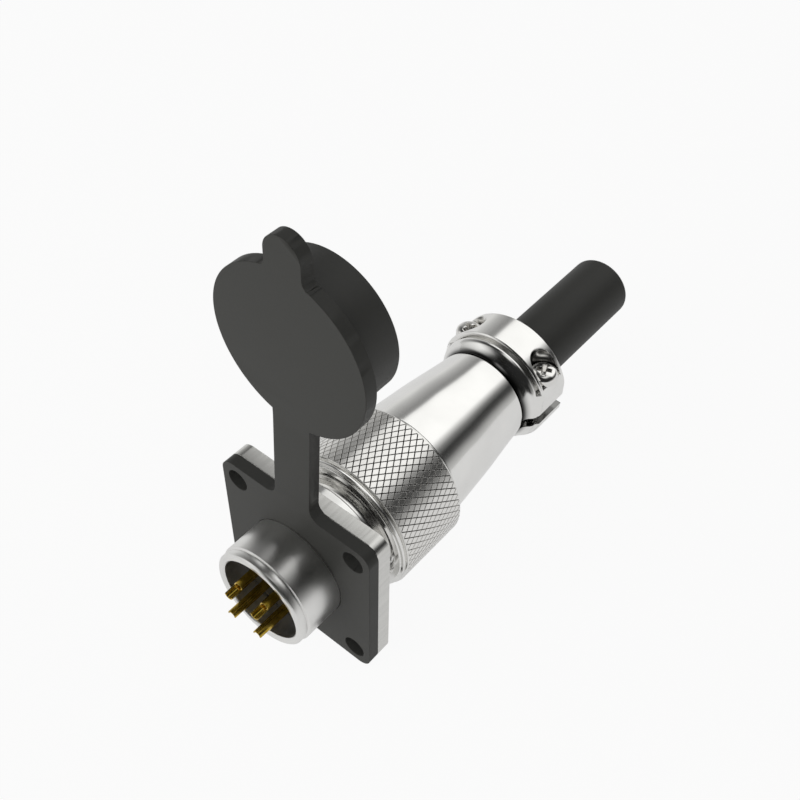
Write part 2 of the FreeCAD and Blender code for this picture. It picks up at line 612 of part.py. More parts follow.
def clamp_body():
    """Both clamp halves as one turned body, before the split."""
    hollow_r = NECK_COLLAR_R + CLAMP_FIT
    grip_r = NECK_R + CLAMP_FIT
    outline = [(grip_r, CLAMP_START_Y)] + CLAMP_RIM
    outline += [
        (CLAMP_LINE_R, CLAMP_LINE_Y), (CLAMP_LINE_R, CLAMP_BODY_Y), (CLAMP_R, CLAMP_BODY_Y),
        (CLAMP_R, CLAMP_END_Y - EDGE), (CLAMP_R - EDGE, CLAMP_END_Y), (SLEEVE_R + SLIP, CLAMP_END_Y),
        (SLEEVE_R + SLIP, NECK_END_Y + CLAMP_FIT), (hollow_r, NECK_END_Y + CLAMP_FIT),
        (hollow_r, NECK_COLLAR_Y - PLAY), (grip_r, NECK_COLLAR_Y - PLAY),
    ]
    body = turned(outline)
    for side in (-1, 1):
        body = body.cut(block((side * CLAMP_FLAT_X, side * FAR), (CLAMP_BODY_Y, FAR), both_ways(FAR)))
    return body


def clamp_upper():
    """The clamp half that the screw heads press on."""
    body = clamp_body().cut(block(both_ways(FAR), (0, FAR), (-FAR, CLAMP_UPPER_Z)))
    across = (SCREW_Y - POCKET_R, SCREW_Y + POCKET_R)
    for side in (-1, 1):
        x = side * SCREW_X
        pocket = pillar(POCKET_R, SCREW_SEAT_Z, FAR, x, SCREW_Y)
        way_out = block((x, side * FAR), across, (SCREW_SEAT_Z, FAR))
        body = body.cut(pocket.fuse(way_out))
        body = body.cut(pillar(SCREW_SHANK_R + SCREW_HOLE_GAP, -FAR, SCREW_SEAT_Z + OVERRUN, x, SCREW_Y))
    return body


def clamp_lower():
    """The clamp half that the screws draw up."""
    body = clamp_body().cut(block(both_ways(FAR), (0, FAR), (CLAMP_LOWER_Z, FAR)))
    for side in (-1, 1):
        body = body.cut(pillar(SCREW_SHANK_R + SCREW_THREAD_FIT, -FAR, 0, side * SCREW_X, SCREW_Y))
    return body


def clamp_screw(side):
    """A pan-head screw with a cross recess."""
    edge_z = SCREW_SEAT_Z + SCREW_HEAD_SIDE + SCREW_HEAD_EDGE
    body = turned([
        (0, SCREW_END_Z), (SCREW_SHANK_R - SCREW_TIP, SCREW_END_Z), (SCREW_SHANK_R, SCREW_END_Z + SCREW_TIP),
        (SCREW_SHANK_R, SCREW_SEAT_Z), (SCREW_HEAD_R, SCREW_SEAT_Z), (SCREW_HEAD_R, SCREW_SEAT_Z + SCREW_HEAD_SIDE),
        (SCREW_HEAD_R - SCREW_HEAD_EDGE_IN, edge_z),
        (SCREW_HEAD_R - SCREW_HEAD_CROWN_IN, SCREW_TOP_Z - SCREW_HEAD_CROWN), (0, SCREW_TOP_Z),
    ], FreeCAD.Vector(0, 0, 1))
    long_way = both_ways(RECESS_LONG / 2)
    wide_way = both_ways(RECESS_WIDE / 2)
    depth = (SCREW_TOP_Z - RECESS_DEEP, SCREW_TOP_Z + OVERRUN)
    body = body.cut(block(long_way, wide_way, depth))
    body = body.cut(block(wide_way, long_way, depth))
    body.rotate(FreeCAD.Vector(0, 0, 0), FreeCAD.Vector(0, 0, 1), SCREW_TURN * side)
    body.translate(FreeCAD.Vector(side * SCREW_X, SCREW_Y, 0))
    return body


def cable_sleeve():
    """The rubber sleeve round the cable, with a rounded end."""
    start = SLEEVE_SEAT_Y + SLIP
    outline = [(SLEEVE_BORE, start), (SLEEVE_R, start)]
    for index in range(SLEEVE_ROUND_STEPS + 1):
        angle = index * math.pi / 2 / SLEEVE_ROUND_STEPS
        outline.append((
            SLEEVE_R - SLEEVE_ROUND + SLEEVE_ROUND * math.cos(angle),
            SLEEVE_END_Y - SLEEVE_ROUND + SLEEVE_ROUND * math.sin(angle),
        ))
    outline.append((SLEEVE_BORE + EDGE, SLEEVE_END_Y))
    outline.append((SLEEVE_BORE, SLEEVE_END_Y - EDGE))
    return turned(outline)


os.makedirs("parts", exist_ok=True)
save("receptacle_shell", receptacle_shell())
save("flange_gasket", flange_gasket())
save("dust_cap", dust_cap())
save("receptacle_insulator", receptacle_insulator())
save("receptacle_retaining_ring", receptacle_retaining_ring())
save("interface_seal", interface_seal())
save("plug_shell", plug_shell())
save("plug_insulator", plug_insulator())
save("plug_retaining_ring", plug_retaining_ring())
save("coupling_ring", coupling_ring())
save("coupling_snap_ring", coupling_snap_ring())
save("clamp_upper", clamp_upper())
save("clamp_lower", clamp_lower())
save("clamp_screw_left", clamp_screw(-1))
save("clamp_screw_right", clamp_screw(1))
save("cable_sleeve", cable_sleeve())
for number, (place_x, place_z) in enumerate(corner_places(CONTACT_OFFSET), start=1):
    save("contact_pin_%d" % number, contact_pin(place_x, place_z, 1 if place_z > 0 else -1))
    save("contact_socket_%d" % number, socket_contact(place_x, place_z))
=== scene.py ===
"""Looks of a round screw-coupled panel connector with a strapped cap, in millimetres about the Y axis."""
import logging
import math
from dataclasses import dataclass
from enum import Enum
from typing import Callable

import bpy
from mathutils import Matrix, Vector


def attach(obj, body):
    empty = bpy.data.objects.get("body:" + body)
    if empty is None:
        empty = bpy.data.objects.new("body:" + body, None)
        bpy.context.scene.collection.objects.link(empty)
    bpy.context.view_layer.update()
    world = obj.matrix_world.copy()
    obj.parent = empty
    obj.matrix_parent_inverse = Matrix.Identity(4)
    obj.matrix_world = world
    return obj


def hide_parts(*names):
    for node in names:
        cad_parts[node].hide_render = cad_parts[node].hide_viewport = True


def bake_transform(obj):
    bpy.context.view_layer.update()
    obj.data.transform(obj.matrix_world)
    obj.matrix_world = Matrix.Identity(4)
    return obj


MM = 0.001
LOG = logging.getLogger("connector")
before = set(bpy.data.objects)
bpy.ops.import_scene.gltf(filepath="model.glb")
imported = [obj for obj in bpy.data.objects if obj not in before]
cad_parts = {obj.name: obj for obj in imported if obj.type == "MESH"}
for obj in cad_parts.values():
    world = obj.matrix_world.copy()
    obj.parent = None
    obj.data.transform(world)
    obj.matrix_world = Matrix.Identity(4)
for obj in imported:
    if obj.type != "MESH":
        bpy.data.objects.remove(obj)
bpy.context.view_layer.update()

Piece = bpy.types.Object
Colour = tuple[float, float, float]

# A radius or a shift outwards, and a place or a shift along Y.
Station = tuple[float, float]

# In metres: vertices this close are one, and a vertex this close to a place lies on it.
MERGED = 1e-6
LIES_ON = 1e-7

# The keys of the mating faces: degrees about Y from the top, and width in millimetres.
KEYS = ((0, 2.6), (100, 1.6), (150, 1.6), (215, 1.6), (265, 1.6))


class Body(Enum):
    """The moving groups of the connector."""

    RECEPTACLE = "receptacle"
    CAP = "cap"
    PLUG = "plug"
    RING = "ring"
    LOWER_CLAMP = "lower_clamp"
    LEFT_SCREW = "left_screw"
    RIGHT_SCREW = "right_screw"


class Slot(Enum):
    """The record's material slots."""

    SHELL = "polished_shell"
    KNURL = "knurled_metal"
    CLAMP = "cast_clamp"
    SPRING = "spring_steel"
    SCREW = "screw_steel"
    GOLD = "gold_contact"
    INSULATOR = "dark_insulator"
    RUBBER = "black_rubber"


def scaled(colour: Colour, factor: float) -> Colour:
    """The colour with its brightness multiplied by a factor."""
    return tuple(part * factor for part in colour)


class Term:
    """One socket of a material, ready for sums written in Python."""

    def __init__(self, graph: "Graph", socket: bpy.types.NodeSocket) -> None:
        """Keep the socket and the graph it belongs to."""
        self.graph = graph
        self.socket = socket

    def _sum(self, operation: str, left: "Term | float", right: "Term | float") -> "Term":
        """The result of one Math node over two values."""
        return self.graph.node("ShaderNodeMath", {"operation": operation}, {0: left, 1: right})

    def __add__(self, other: "Term | float") -> "Term":
        """The sum of two values."""
        return self._sum("ADD", self, other)

    def __radd__(self, other: float) -> "Term":
        """The sum with a number on the left."""
        return self._sum("ADD", other, self)

    def __sub__(self, other: "Term | float") -> "Term":
        """The difference of two values."""
        return self._sum("SUBTRACT", self, other)

    def __rsub__(self, other: float) -> "Term":
        """The difference with a number on the left."""
        return self._sum("SUBTRACT", other, self)

    def __mul__(self, other: "Term | float") -> "Term":
        """The product of two values."""
        return self._sum("MULTIPLY", self, other)

    def __truediv__(self, other: "Term | float") -> "Term":
        """The quotient of two values."""
        return self._sum("DIVIDE", self, other)

    def power(self, exponent: float) -> "Term":
        """The value raised to an exponent."""
        return self._sum("POWER", self, exponent)

    def turn_from(self, other: "Term") -> "Term":
        """The angle whose tangent is this value over the other, in radians."""
        return self._sum("ARCTAN2", self, other)

    def clamped(self, low: float, high: float) -> "Term":
        """The value spread from the range low to high onto 0 to 1, and held there."""
        return self.graph.node("ShaderNodeMapRange", {"clamp": True}, {0: self, 1: low, 2: high})

    def within(self, low: float, high: float, edge: float) -> "Term":
        """A mask that is 1 between a low and a high value and fades to 0 over an edge inside them."""
        return self.clamped(low, low + edge) * self.clamped(high, high - edge)


class Graph:
    """The nodes of one material or of the world."""

    def __init__(self, tree: bpy.types.NodeTree) -> None:
        """Take a node tree and empty it."""
        self.tree = tree
        self.tree.nodes.clear()

    def node(self, kind: str, settings: dict | None = None, values: dict | None = None,
             out: int | str = 0) -> Term:
        """Add any node.

        Args:
            kind: the node's type name.
            settings: its properties; "stops" gives a ramp's places and colours.
            values: numbers, colours or terms for its inputs, by name or number.
            out: the name or number of the output that is wanted.

        Returns:
            That output.
        """
        made = self.tree.nodes.new(kind)
        for key, value in (settings or {}).items():
            if key == "stops":
                ramp = made.color_ramp
                while len(ramp.elements) < len(value):
                    ramp.elements.new(0.5)
                for element, (place, colour) in zip(ramp.elements, value):
                    element.position = place
                    element.color = (*colour, 1.0)
            else:
                setattr(made, key, value)
        for key, value in (values or {}).items():
            if isinstance(value, Term):
                self.tree.links.new(value.socket, made.inputs[key])
            else:
                made.inputs[key].default_value = value
        return Term(self, made.outputs[out])

    def blend_colours(self, share: Term, first: tuple | Term, second: tuple | Term) -> Term:
        """The first colour at a share of 0, the second at 1 and a mixture between."""
        sides = [value if isinstance(value, Term) else (*value, 1.0) for value in (first, second)]
        return self.node("ShaderNodeMix", {"data_type": "RGBA"}, {0: share, 6: sides[0], 7: sides[1]}, 2)

    def shaded(self, share: Term, colour: Colour, factor: float) -> Term:
        """A colour whose brightness is multiplied by a factor as the share goes from 0 to 1."""
        return self.blend_colours(share, colour, scaled(colour, factor))

    def grain(self, scale: float, detail: float = 2.0, stretch: tuple = (1, 1, 1)) -> Term:
        """Noise over the object's own coordinates.

        Args:
            scale: cells to the metre.
            detail: finer layers.
            stretch: how much finer it is along each axis.

        Returns:
            A value about 0.5.
        """
        place = self.node("ShaderNodeTexCoord", out="Object")
        place = self.node("ShaderNodeMapping", {}, {"Vector": place, "Scale": stretch})
        return self.node("ShaderNodeTexNoise", {}, {"Vector": place, "Scale": scale, "Detail": detail})

    def place(self, kind: str = "Object") -> tuple[Term, ...]:
        """The shaded point's X, Y and Z, in one kind of coordinates."""
        point = self.node("ShaderNodeTexCoord", out=kind)
        return tuple(self.node("ShaderNodeSeparateXYZ", {}, {0: point}, axis) for axis in ("X", "Y", "Z"))

    def round_axis(self) -> tuple[Term, Term]:
        """The shaded point's distance from the Y axis and its place along it, in metres."""
        x, y, z = self.place()
        return (x * x + z * z).power(0.5), y

    def bump(self, height: Term, depth_mm: float, softness_mm: float = 0.0) -> Term:
        """A normal raised by a height.

        Args:
            height: a value from 0 to 1.
            depth_mm: what a height of 1 stands for.
            softness_mm: the radius that rounds sharp edges, 0 for none.

        Returns:
            The normal.
        """
        values: dict = {"Height": height, "Strength": 1.0, "Distance": depth_mm * MM}
        if softness_mm > 0:
            values["Normal"] = self.soft_edges(softness_mm)
        return self.node("ShaderNodeBump", {}, values)

    def soft_edges(self, radius_mm: float) -> Term:
        """A normal that rounds the edges by a small radius."""
        return self.node("ShaderNodeBevel", {"samples": 6}, {"Radius": radius_mm * MM})

    def surface(self, **values: "Term | float | tuple") -> None:
        """Finish the material with one Principled shader, its inputs named with _ for a space."""
        named = {key.replace("_", " "): value for key, value in values.items()}
        self.close(self.node("ShaderNodeBsdfPrincipled", {}, named))

    def close(self, shader: Term) -> None:
        """Link a shader to the material's output."""
        end = self.tree.nodes.new("ShaderNodeOutputMaterial")
        self.tree.links.new(shader.socket, end.inputs["Surface"])


@dataclass(frozen=True)
class Finish:
    """A finish that can dress a piece."""

    name: str
    slot: Slot

    def build(self, graph: Graph) -> None:
        """Make the nodes in an empty graph."""
        raise NotImplementedError

    def material(self) -> bpy.types.Material:
        """Make the material, or find it once it is there.

        Returns:
            The finish as a material.
        """
        found = bpy.data.materials.get(self.name)
        if found is None:
            found = bpy.data.materials.new(self.name)
            found.use_nodes = True
            self.build(Graph(found.node_tree))
        return found

    def dress(self, piece: Piece) -> None:
        """Give the finish to a piece, in place of all that it wore.

        Args:
            piece: the piece to dress.
        """
        piece.data.materials.clear()
        piece.data.materials.append(self.material())
        LOG.info("%s wears %s", piece.name, self.name)


@dataclass(frozen=True)
class TurnedMetal(Finish):
    """Plated metal, turned on a lathe and polished."""

    colour: Colour = (0.88, 0.875, 0.86)
    smeared: float = 0.95
    roughness: float = 0.13
    smear: float = 0.08
    ring: float = 0.04
    smears_per_m: float = 160.0
    rings_per_m: float = 5200.0
    marks_mm: float = 0.0012
    edge_mm: float = 0.12
    satin_mm: tuple[float, float] | None = None
    satin: float = 0.17
    satin_edge_mm: float = 0.3

    def build(self, graph: Graph) -> None:
        """Fine rings from the lathe, faint smears in the plating, soft edges and, in some, a satin stretch.

        Args:
            graph: the material's graph.
        """
        radius, station = graph.round_axis()
        line = graph.node("ShaderNodeCombineXYZ", {}, {0: radius, 1: station, 2: 0.0})
        rings = graph.node(
            "ShaderNodeTexNoise", {}, {"Vector": line, "Scale": self.rings_per_m, "Detail": 3.0})
        smears = graph.grain(self.smears_per_m, 4.0)
        shine = self.roughness + (smears - 0.5) * self.smear + (rings - 0.5) * self.ring
        if self.satin_mm:
            start, end = (edge * MM for edge in self.satin_mm)
            shine = shine + station.within(start, end, self.satin_edge_mm * MM) * self.satin
        tint = graph.shaded(smears.clamped(0.35, 0.75), self.colour, self.smeared)
        graph.surface(
            Base_Color=self.coat(graph, radius, station, tint), Metallic=1.0, Roughness=shine,
            Normal=graph.bump(rings, self.marks_mm, self.edge_mm),
        )

    def coat(self, graph: Graph, radius: Term, station: Term, tint: Term) -> Term:
        """The tint as it is."""
        return tint


@dataclass(frozen=True)
class CastMetal(TurnedMetal):
    """Plated metal, cast, with painted shade at the root of its flare and on one face of its split."""

    # Painted shade at the flare's root: where it lies along Y and out from the axis, and how dark it is.
    root_shade_y_mm: tuple[float, float] = (57.2, 58.8)
    root_shade_r_mm: tuple[float, float] = (10.9, 11.8)
    root: float = 0.06
    # Painted shade on the lower half's split face: where it lies in height and how dark it is.
    split_shade_z_mm: tuple[float, float] = (-3.26, -3.2)
    split: float = 0.28

    def coat(self, graph: Graph, radius: Term, station: Term, tint: Term) -> Term:
        """Paint shade into the tint towards the root of the flare and on the lower half's split face.

        Args:
            graph: the material's graph.
            radius: the distance from the axis in metres.
            station: the place along Y in metres.
            tint: the colour elsewhere.

        Returns:
            The colour with painted shade at its root and on its split face.
        """
        # Painted shade at the flare's root, fading out with radius and along Y.
        out = radius.clamped(self.root_shade_r_mm[0] * MM, self.root_shade_r_mm[1] * MM)
        along = station.clamped(self.root_shade_y_mm[0] * MM, self.root_shade_y_mm[1] * MM)
        share = 1.0 - (1.0 - out) * (1.0 - along)
        # Painted shade on the lower half's face at the split, in the gap under the upper half.
        height = graph.place()[2]
        low, high = (edge * MM for edge in self.split_shade_z_mm)
        split = height.clamped(low, high) * height.clamped(high + 2 * MM, high + MM)
        tint = graph.blend_colours(split, tint, scaled(self.colour, self.split))
        return graph.blend_colours(share, scaled(self.colour, self.root), tint)


@dataclass(frozen=True)
class BrushedMetal(Finish):
    """Plated flat metal with fine brush lines across its edges."""

    colour: Colour = (0.70, 0.695, 0.675)
    brushed: float = 0.9
    roughness: float = 0.2
    stroke: float = 0.15
    smear: float = 0.1
    lines_per_m: float = 1400.0
    smears_per_m: float = 120.0
    marks_mm: float = 0.004
    edge_mm: float = 0.15

    def build(self, graph: Graph) -> None:
        """Short brush lines along the thickness.

        Args:
            graph: the material's graph.
        """
        lines = graph.grain(self.lines_per_m, 3.0, (1.0, 0.06, 1.0))
        smears = graph.grain(self.smears_per_m, 3.0)
        graph.surface(
            Base_Color=graph.shaded(lines.clamped(0.3, 0.8), self.colour, self.brushed), Metallic=1.0,
            Roughness=self.roughness + (lines - 0.5) * self.stroke + (smears - 0.5) * self.smear,
            Normal=graph.bump(lines, self.marks_mm, self.edge_mm),
        )


@dataclass(frozen=True)
class KnurledMetal(Finish):
    """Plated metal whose cut grooves are painted dark as shade."""

    colour: Colour = (0.86, 0.85, 0.83)
    # Painted shade in the grooves.
    groove: Colour = (0.012, 0.012, 0.012)
    groove_shade_r_mm: float = 15.18
    crest_r_mm: float = 15.4
    roughness: float = 0.42
    polish: float = 0.22
    smear: float = 0.1
    smears_per_m: float = 200.0
    pits_per_m: float = 2600.0
    pits_mm: float = 0.002
    edge_mm: float = 0.06

    def build(self, graph: Graph) -> None:
        """Crests in the plating's colour and grooves in painted shade, told apart by their radius.

        Args:
            graph: the material's graph.
        """
        radius, _ = graph.round_axis()
        # Painted shade: by their radius, the grooves take the dark colour and the crests take the plating's.
        crest = radius.clamped(self.groove_shade_r_mm * MM, self.crest_r_mm * MM)
        smears = graph.grain(self.smears_per_m, 3.0)
        graph.surface(
            Base_Color=graph.blend_colours(crest, self.groove, self.colour), Metallic=1.0,
            Roughness=self.roughness - crest * self.polish + (smears - 0.5) * self.smear,
            Normal=graph.bump(graph.grain(self.pits_per_m), self.pits_mm, self.edge_mm),
        )


@dataclass(frozen=True)
class Rubber(Finish):
    """Moulded black rubber."""

    colour: Colour = (0.042, 0.042, 0.039)
    dusty: float = 1.12
    roughness: float = 0.5
    flow: float = 0.15
    skin: float = 0.1
    flow_per_m: float = 60.0
    skin_per_m: float = 3800.0
    skin_mm: float = 0.006
    edge_mm: float = 0.25
    sheen: float = 0.22

    def build(self, graph: Graph) -> None:
        """A fine mat skin with faint flow marks and dust.

        Args:
            graph: the material's graph.
        """
        skin = graph.grain(self.skin_per_m, 3.0)
        flow = graph.grain(self.flow_per_m, 4.0)
        graph.surface(
            Base_Color=graph.shaded(flow.clamped(0.3, 0.7), self.colour, self.dusty),
            Roughness=self.roughness + (flow - 0.5) * self.flow + (skin - 0.5) * self.skin,
            Specular_IOR_Level=self.sheen, Normal=graph.bump(skin, self.skin_mm, self.edge_mm),
        )


@dataclass(frozen=True)
class Insulator(Finish):
    """Moulded dark insulating plastic."""

    colour: Colour = (0.02, 0.019, 0.018)
    worn: float = 1.25
    roughness: float = 0.42
    skin: float = 0.12
    skin_per_m: float = 900.0
    skin_mm: float = 0.004
    edge_mm: float = 0.12
    sheen: float = 0.3

    def build(self, graph: Graph) -> None:
        """A smooth, slightly glossy moulding with a faint texture.

        Args:
            graph: the material's graph.
        """
        skin = graph.grain(self.skin_per_m, 3.0)
        graph.surface(
            Base_Color=graph.shaded(skin.clamped(0.35, 0.7), self.colour, self.worn),
            Roughness=self.roughness + (skin - 0.5) * self.skin,
            Specular_IOR_Level=self.sheen, Normal=graph.bump(skin, self.skin_mm, self.edge_mm),
        )


@dataclass(frozen=True)
class GoldPlate(Finish):
    """Thin gold plating on turned contacts."""

    colour: Colour = (0.80, 0.58, 0.12)
    patch: Colour = (0.46, 0.31, 0.035)
    # A painted highlight on the rim behind each solder cup: its colour, and where it lies along Y and round
    # the pin's axis.
    painted_glint: Colour = (1.0, 0.80, 0.30)
    painted_glint_y_mm: tuple[float, float] = (-11.95, -11.55)
    painted_glint_r_mm: tuple[float, float] = (0.96, 0.9)
    pin_mm: float = 3.2
    roughness: float = 0.22
    tarnish: float = 0.14
    patches_per_m: float = 420.0
    lines_per_m: float = 1500.0
    marks_mm: float = 0.002
    edge_mm: float = 0.05

    def build(self, graph: Graph) -> None:
        """Gold with darker, redder patches, fine turning lines and a painted highlight on the edge behind
        each solder cup.

        Args:
            graph: the material's graph.
        """
        patches = graph.grain(self.patches_per_m, 4.0)
        lines = graph.grain(self.lines_per_m, 2.0, (1.0, 6.0, 1.0))
        x, y, z = graph.place()
        across, height = ((side * side).power(0.5) - self.pin_mm * MM for side in (x, z))
        radius = (across * across + height * height).power(0.5)
        low, high = (edge * MM for edge in self.painted_glint_y_mm)
        outer, inner = (edge * MM for edge in self.painted_glint_r_mm)
        # Painted highlight on the rim where each solder cup's cut ends.
        edge = y.within(low, high, 0.1 * MM) * radius.clamped(outer, inner)
        tint = graph.blend_colours(patches.clamped(0.32, 0.6), self.colour, self.patch)
        graph.surface(
            Base_Color=graph.blend_colours(edge, tint, self.painted_glint), Metallic=1.0,
            Roughness=self.roughness + (patches - 0.5) * self.tarnish,
            Normal=graph.bump(lines, self.marks_mm, self.edge_mm),
        )


POLISHED = TurnedMetal("polished nickel", Slot.SHELL)
BARREL = TurnedMetal("polished nickel, satin barrel", Slot.SHELL, satin_mm=(-10.6, 0.0))
FLANGE = BrushedMetal("brushed flange", Slot.SHELL)
CAST = CastMetal("cast clamp nickel", Slot.CLAMP, roughness=0.15, marks_mm=0.0008, edge_mm=0.22)
KNURLED = KnurledMetal("knurled nickel", Slot.KNURL)
BAND = TurnedMetal("ring band nickel", Slot.KNURL, roughness=0.12)
SPRING = TurnedMetal("spring steel", Slot.SPRING, colour=(0.42, 0.41, 0.40), roughness=0.3)
SCREW = TurnedMetal("plated screw", Slot.SCREW, colour=(0.85, 0.84, 0.82), roughness=0.16)
RUBBER = Rubber("black rubber", Slot.RUBBER)
INSULATOR = Insulator("dark insulator", Slot.INSULATOR)
GOLD = GoldPlate("gold plate", Slot.GOLD)


class Bench:
    """Hand tools: each one shapes meshes as a modeller would."""

    @staticmethod
    def clear() -> None:
        """Leave edit mode with nothing selected."""
        if bpy.context.object and bpy.context.object.mode != "OBJECT":
            bpy.ops.object.mode_set(mode="OBJECT")
        bpy.ops.object.select_all(action="DESELECT")

    @staticmethod
    def take(piece: Piece) -> None:
        """Make a piece the only one in hand.

        Args:
            piece: the piece to hold.
        """
        Bench.clear()
        piece.select_set(True)
        bpy.context.view_layer.objects.active = piece

    @staticmethod
    def settle(piece: Piece, name: str) -> Piece:
        """Name a piece and put its place into its mesh.

        Args:
            piece: the piece in hand.
            name: its name.

        Returns:
            The same piece.
        """
        Bench.take(piece)
        bpy.ops.object.transform_apply(location=True, rotation=True, scale=True)
        piece.name = name
        piece.data.name = name
        return piece

    @staticmethod
    def pick(piece: Piece, wanted: Callable[[Vector], bool]) -> None:
        """Enter edit mode with the vertices picked by their place.

        Args:
            piece: the piece to edit.
            wanted: says for a place in metres whether it is picked.
        """
        Bench.take(piece)
        bpy.ops.object.mode_set(mode="EDIT")
        bpy.ops.mesh.select_mode(type="VERT")
        bpy.ops.mesh.select_all(action="DESELECT")
        bpy.ops.object.mode_set(mode="OBJECT")
        for vertex in piece.data.vertices:
            vertex.select = wanted(vertex.co)
        bpy.ops.object.mode_set(mode="EDIT")

    @staticmethod
    def shape(piece: Piece, wanted: Callable[[Vector], bool], tool: Callable, **settings: object) -> None:
        """Use one edit tool on the vertices picked by their place, and leave edit mode.

        Args:
            piece: the piece to edit.
            wanted: says for a place in metres whether it is picked.
            tool: the operator.
            settings: what the operator is given.
        """
        Bench.pick(piece, wanted)
        tool(**settings)
        bpy.ops.object.mode_set(mode="OBJECT")

    @staticmethod
    def turned(name: str, stations: list[Station], sides: int = 128) -> Piece:
        """Draw a ring out along Y, station by station, as on a lathe.

        Args:
            name: the piece's name.
            stations: radius and Y of each ring, in millimetres; a radius of 0 closes an end.
            sides: vertices round a ring.

        Returns:
            The turned piece.
        """
        rings = [s for s in stations if s[0] > 0]
        Bench.clear()
        bpy.ops.mesh.primitive_circle_add(
            vertices=sides, radius=rings[0][0] * MM, fill_type="NOTHING",
            location=(0, rings[0][1] * MM, 0), rotation=(math.pi / 2, 0, 0),
        )
        piece = Bench.settle(bpy.context.object, name)
        bpy.ops.object.mode_set(mode="EDIT")
        bpy.ops.mesh.select_all(action="SELECT")
        before = rings[0]
        for station in rings[1:]:
            step = (0, (station[1] - before[1]) * MM, 0)
            bpy.ops.mesh.extrude_region_move(TRANSFORM_OT_translate={"value": step})
            grow = station[0] / before[0]
            bpy.ops.transform.resize(value=(grow, 1, grow), center_override=(0, station[1] * MM, 0))
            before = station
        if stations[-1][0] == 0:
            bpy.ops.mesh.extrude_region_move(
                TRANSFORM_OT_translate={"value": (0, (stations[-1][1] - before[1]) * MM, 0)})
            bpy.ops.mesh.merge(type="CENTER")
        if stations[0][0] == 0:
            first = rings[0]
            Bench.pick(piece, lambda v: abs(v.y - first[1] * MM) < LIES_ON
                       and abs(math.hypot(v.x, v.z) - first[0] * MM) < LIES_ON)
            bpy.ops.mesh.extrude_region_move(
                TRANSFORM_OT_translate={"value": (0, (stations[0][1] - first[1]) * MM, 0)})
            bpy.ops.mesh.merge(type="CENTER")
        return Bench.heal(piece)

    @staticmethod
    def heal(piece: Piece) -> Piece:
        """Merge doubles and turn every face outwards.

        Args:
            piece: the piece to mend.

        Returns:
            The same piece.
        """
        Bench.take(piece)
        bpy.ops.object.mode_set(mode="EDIT")
        bpy.ops.mesh.select_all(action="SELECT")
        bpy.ops.mesh.remove_doubles(threshold=MERGED)
        bpy.ops.mesh.normals_make_consistent(inside=False)
        bpy.ops.object.mode_set(mode="OBJECT")
        return piece

    @staticmethod
    def block(name: str, corner: tuple, other: tuple) -> Piece:
        """A box between two opposite corners.

        Args:
            name: the piece's name.
            corner: one corner, in millimetres.
            other: the corner across from it.

        Returns:
            The box.
        """
        Bench.clear()
        middle = [(a + b) / 2 * MM for a, b in zip(corner, other)]
        bpy.ops.mesh.primitive_cube_add(size=1.0, location=middle)
        piece = bpy.context.object
        piece.scale = [abs(b - a) * MM for a, b in zip(corner, other)]
        return Bench.settle(piece, name)

    @staticmethod
    def rib(name: str, turn: float, width: float, radii: tuple, ends: tuple) -> Piece:
        """A bar along Y at a turn about the axis.

        Args:
            name: the piece's name.
            turn: in degrees about Y from the top.
            width: in millimetres.
            radii: its inner and outer distance from the axis.
            ends: where it begins and ends along Y.

        Returns:
            The bar.
        """
        bar = Bench.block(name, (-width / 2, ends[0], radii[0]), (width / 2, ends[1], radii[1]))
        bar.rotation_euler = (0, math.radians(turn), 0)
        return Bench.settle(bar, name)

    @staticmethod
    def rod(name: str, radius: float, start: tuple, end: tuple, sides: int = 64) -> Piece:
        """A plain round bar between two points.

        Args:
            name: the piece's name.
            radius: in millimetres.
            start: one end, in millimetres.
            end: the other end.
            sides: vertices round it.

        Returns:
            The bar.
        """
        Bench.clear()
        line = Vector(end) - Vector(start)
        turn = Vector((0, 0, 1)).rotation_difference(line.normalized()).to_euler()
        bpy.ops.mesh.primitive_cylinder_add(
            vertices=sides, radius=radius * MM, depth=line.length * MM,
            location=(Vector(start) + line / 2) * MM, rotation=turn,
        )
        return Bench.settle(bpy.context.object, name)

    @staticmethod
    def carve(piece: Piece, tool: Piece, operation: str = "DIFFERENCE") -> Piece:
        """Cut a tool out of a piece, or join or cross them, and remove the tool.

        Args:
            piece: the piece to change.
            tool: the other shape.
            operation: DIFFERENCE, UNION or INTERSECT.

        Returns:
            The changed piece.
        """
        Bench.take(piece)
        cut = piece.modifiers.new("cut", "BOOLEAN")
        cut.operation = operation
        cut.object = tool
        cut.solver = "EXACT"
        bpy.ops.object.modifier_apply(modifier=cut.name)
        bpy.data.objects.remove(tool)
        return piece

    @staticmethod
    def drill(piece: Piece, radius: float, pitch: float, ends: tuple[float, float]) -> None:
        """Drill four holes along Y at the corners of a square round the axis.

        Args:
            piece: the piece to drill.
            radius: of each hole, in millimetres.
            pitch: the square's side.
            ends: where the drill begins and ends along Y.
        """
        for x in (-pitch / 2, pitch / 2):
            for z in (-pitch / 2, pitch / 2):
                Bench.carve(piece, Bench.rod("hole", radius, (x, ends[0], z), (x, ends[1], z)))

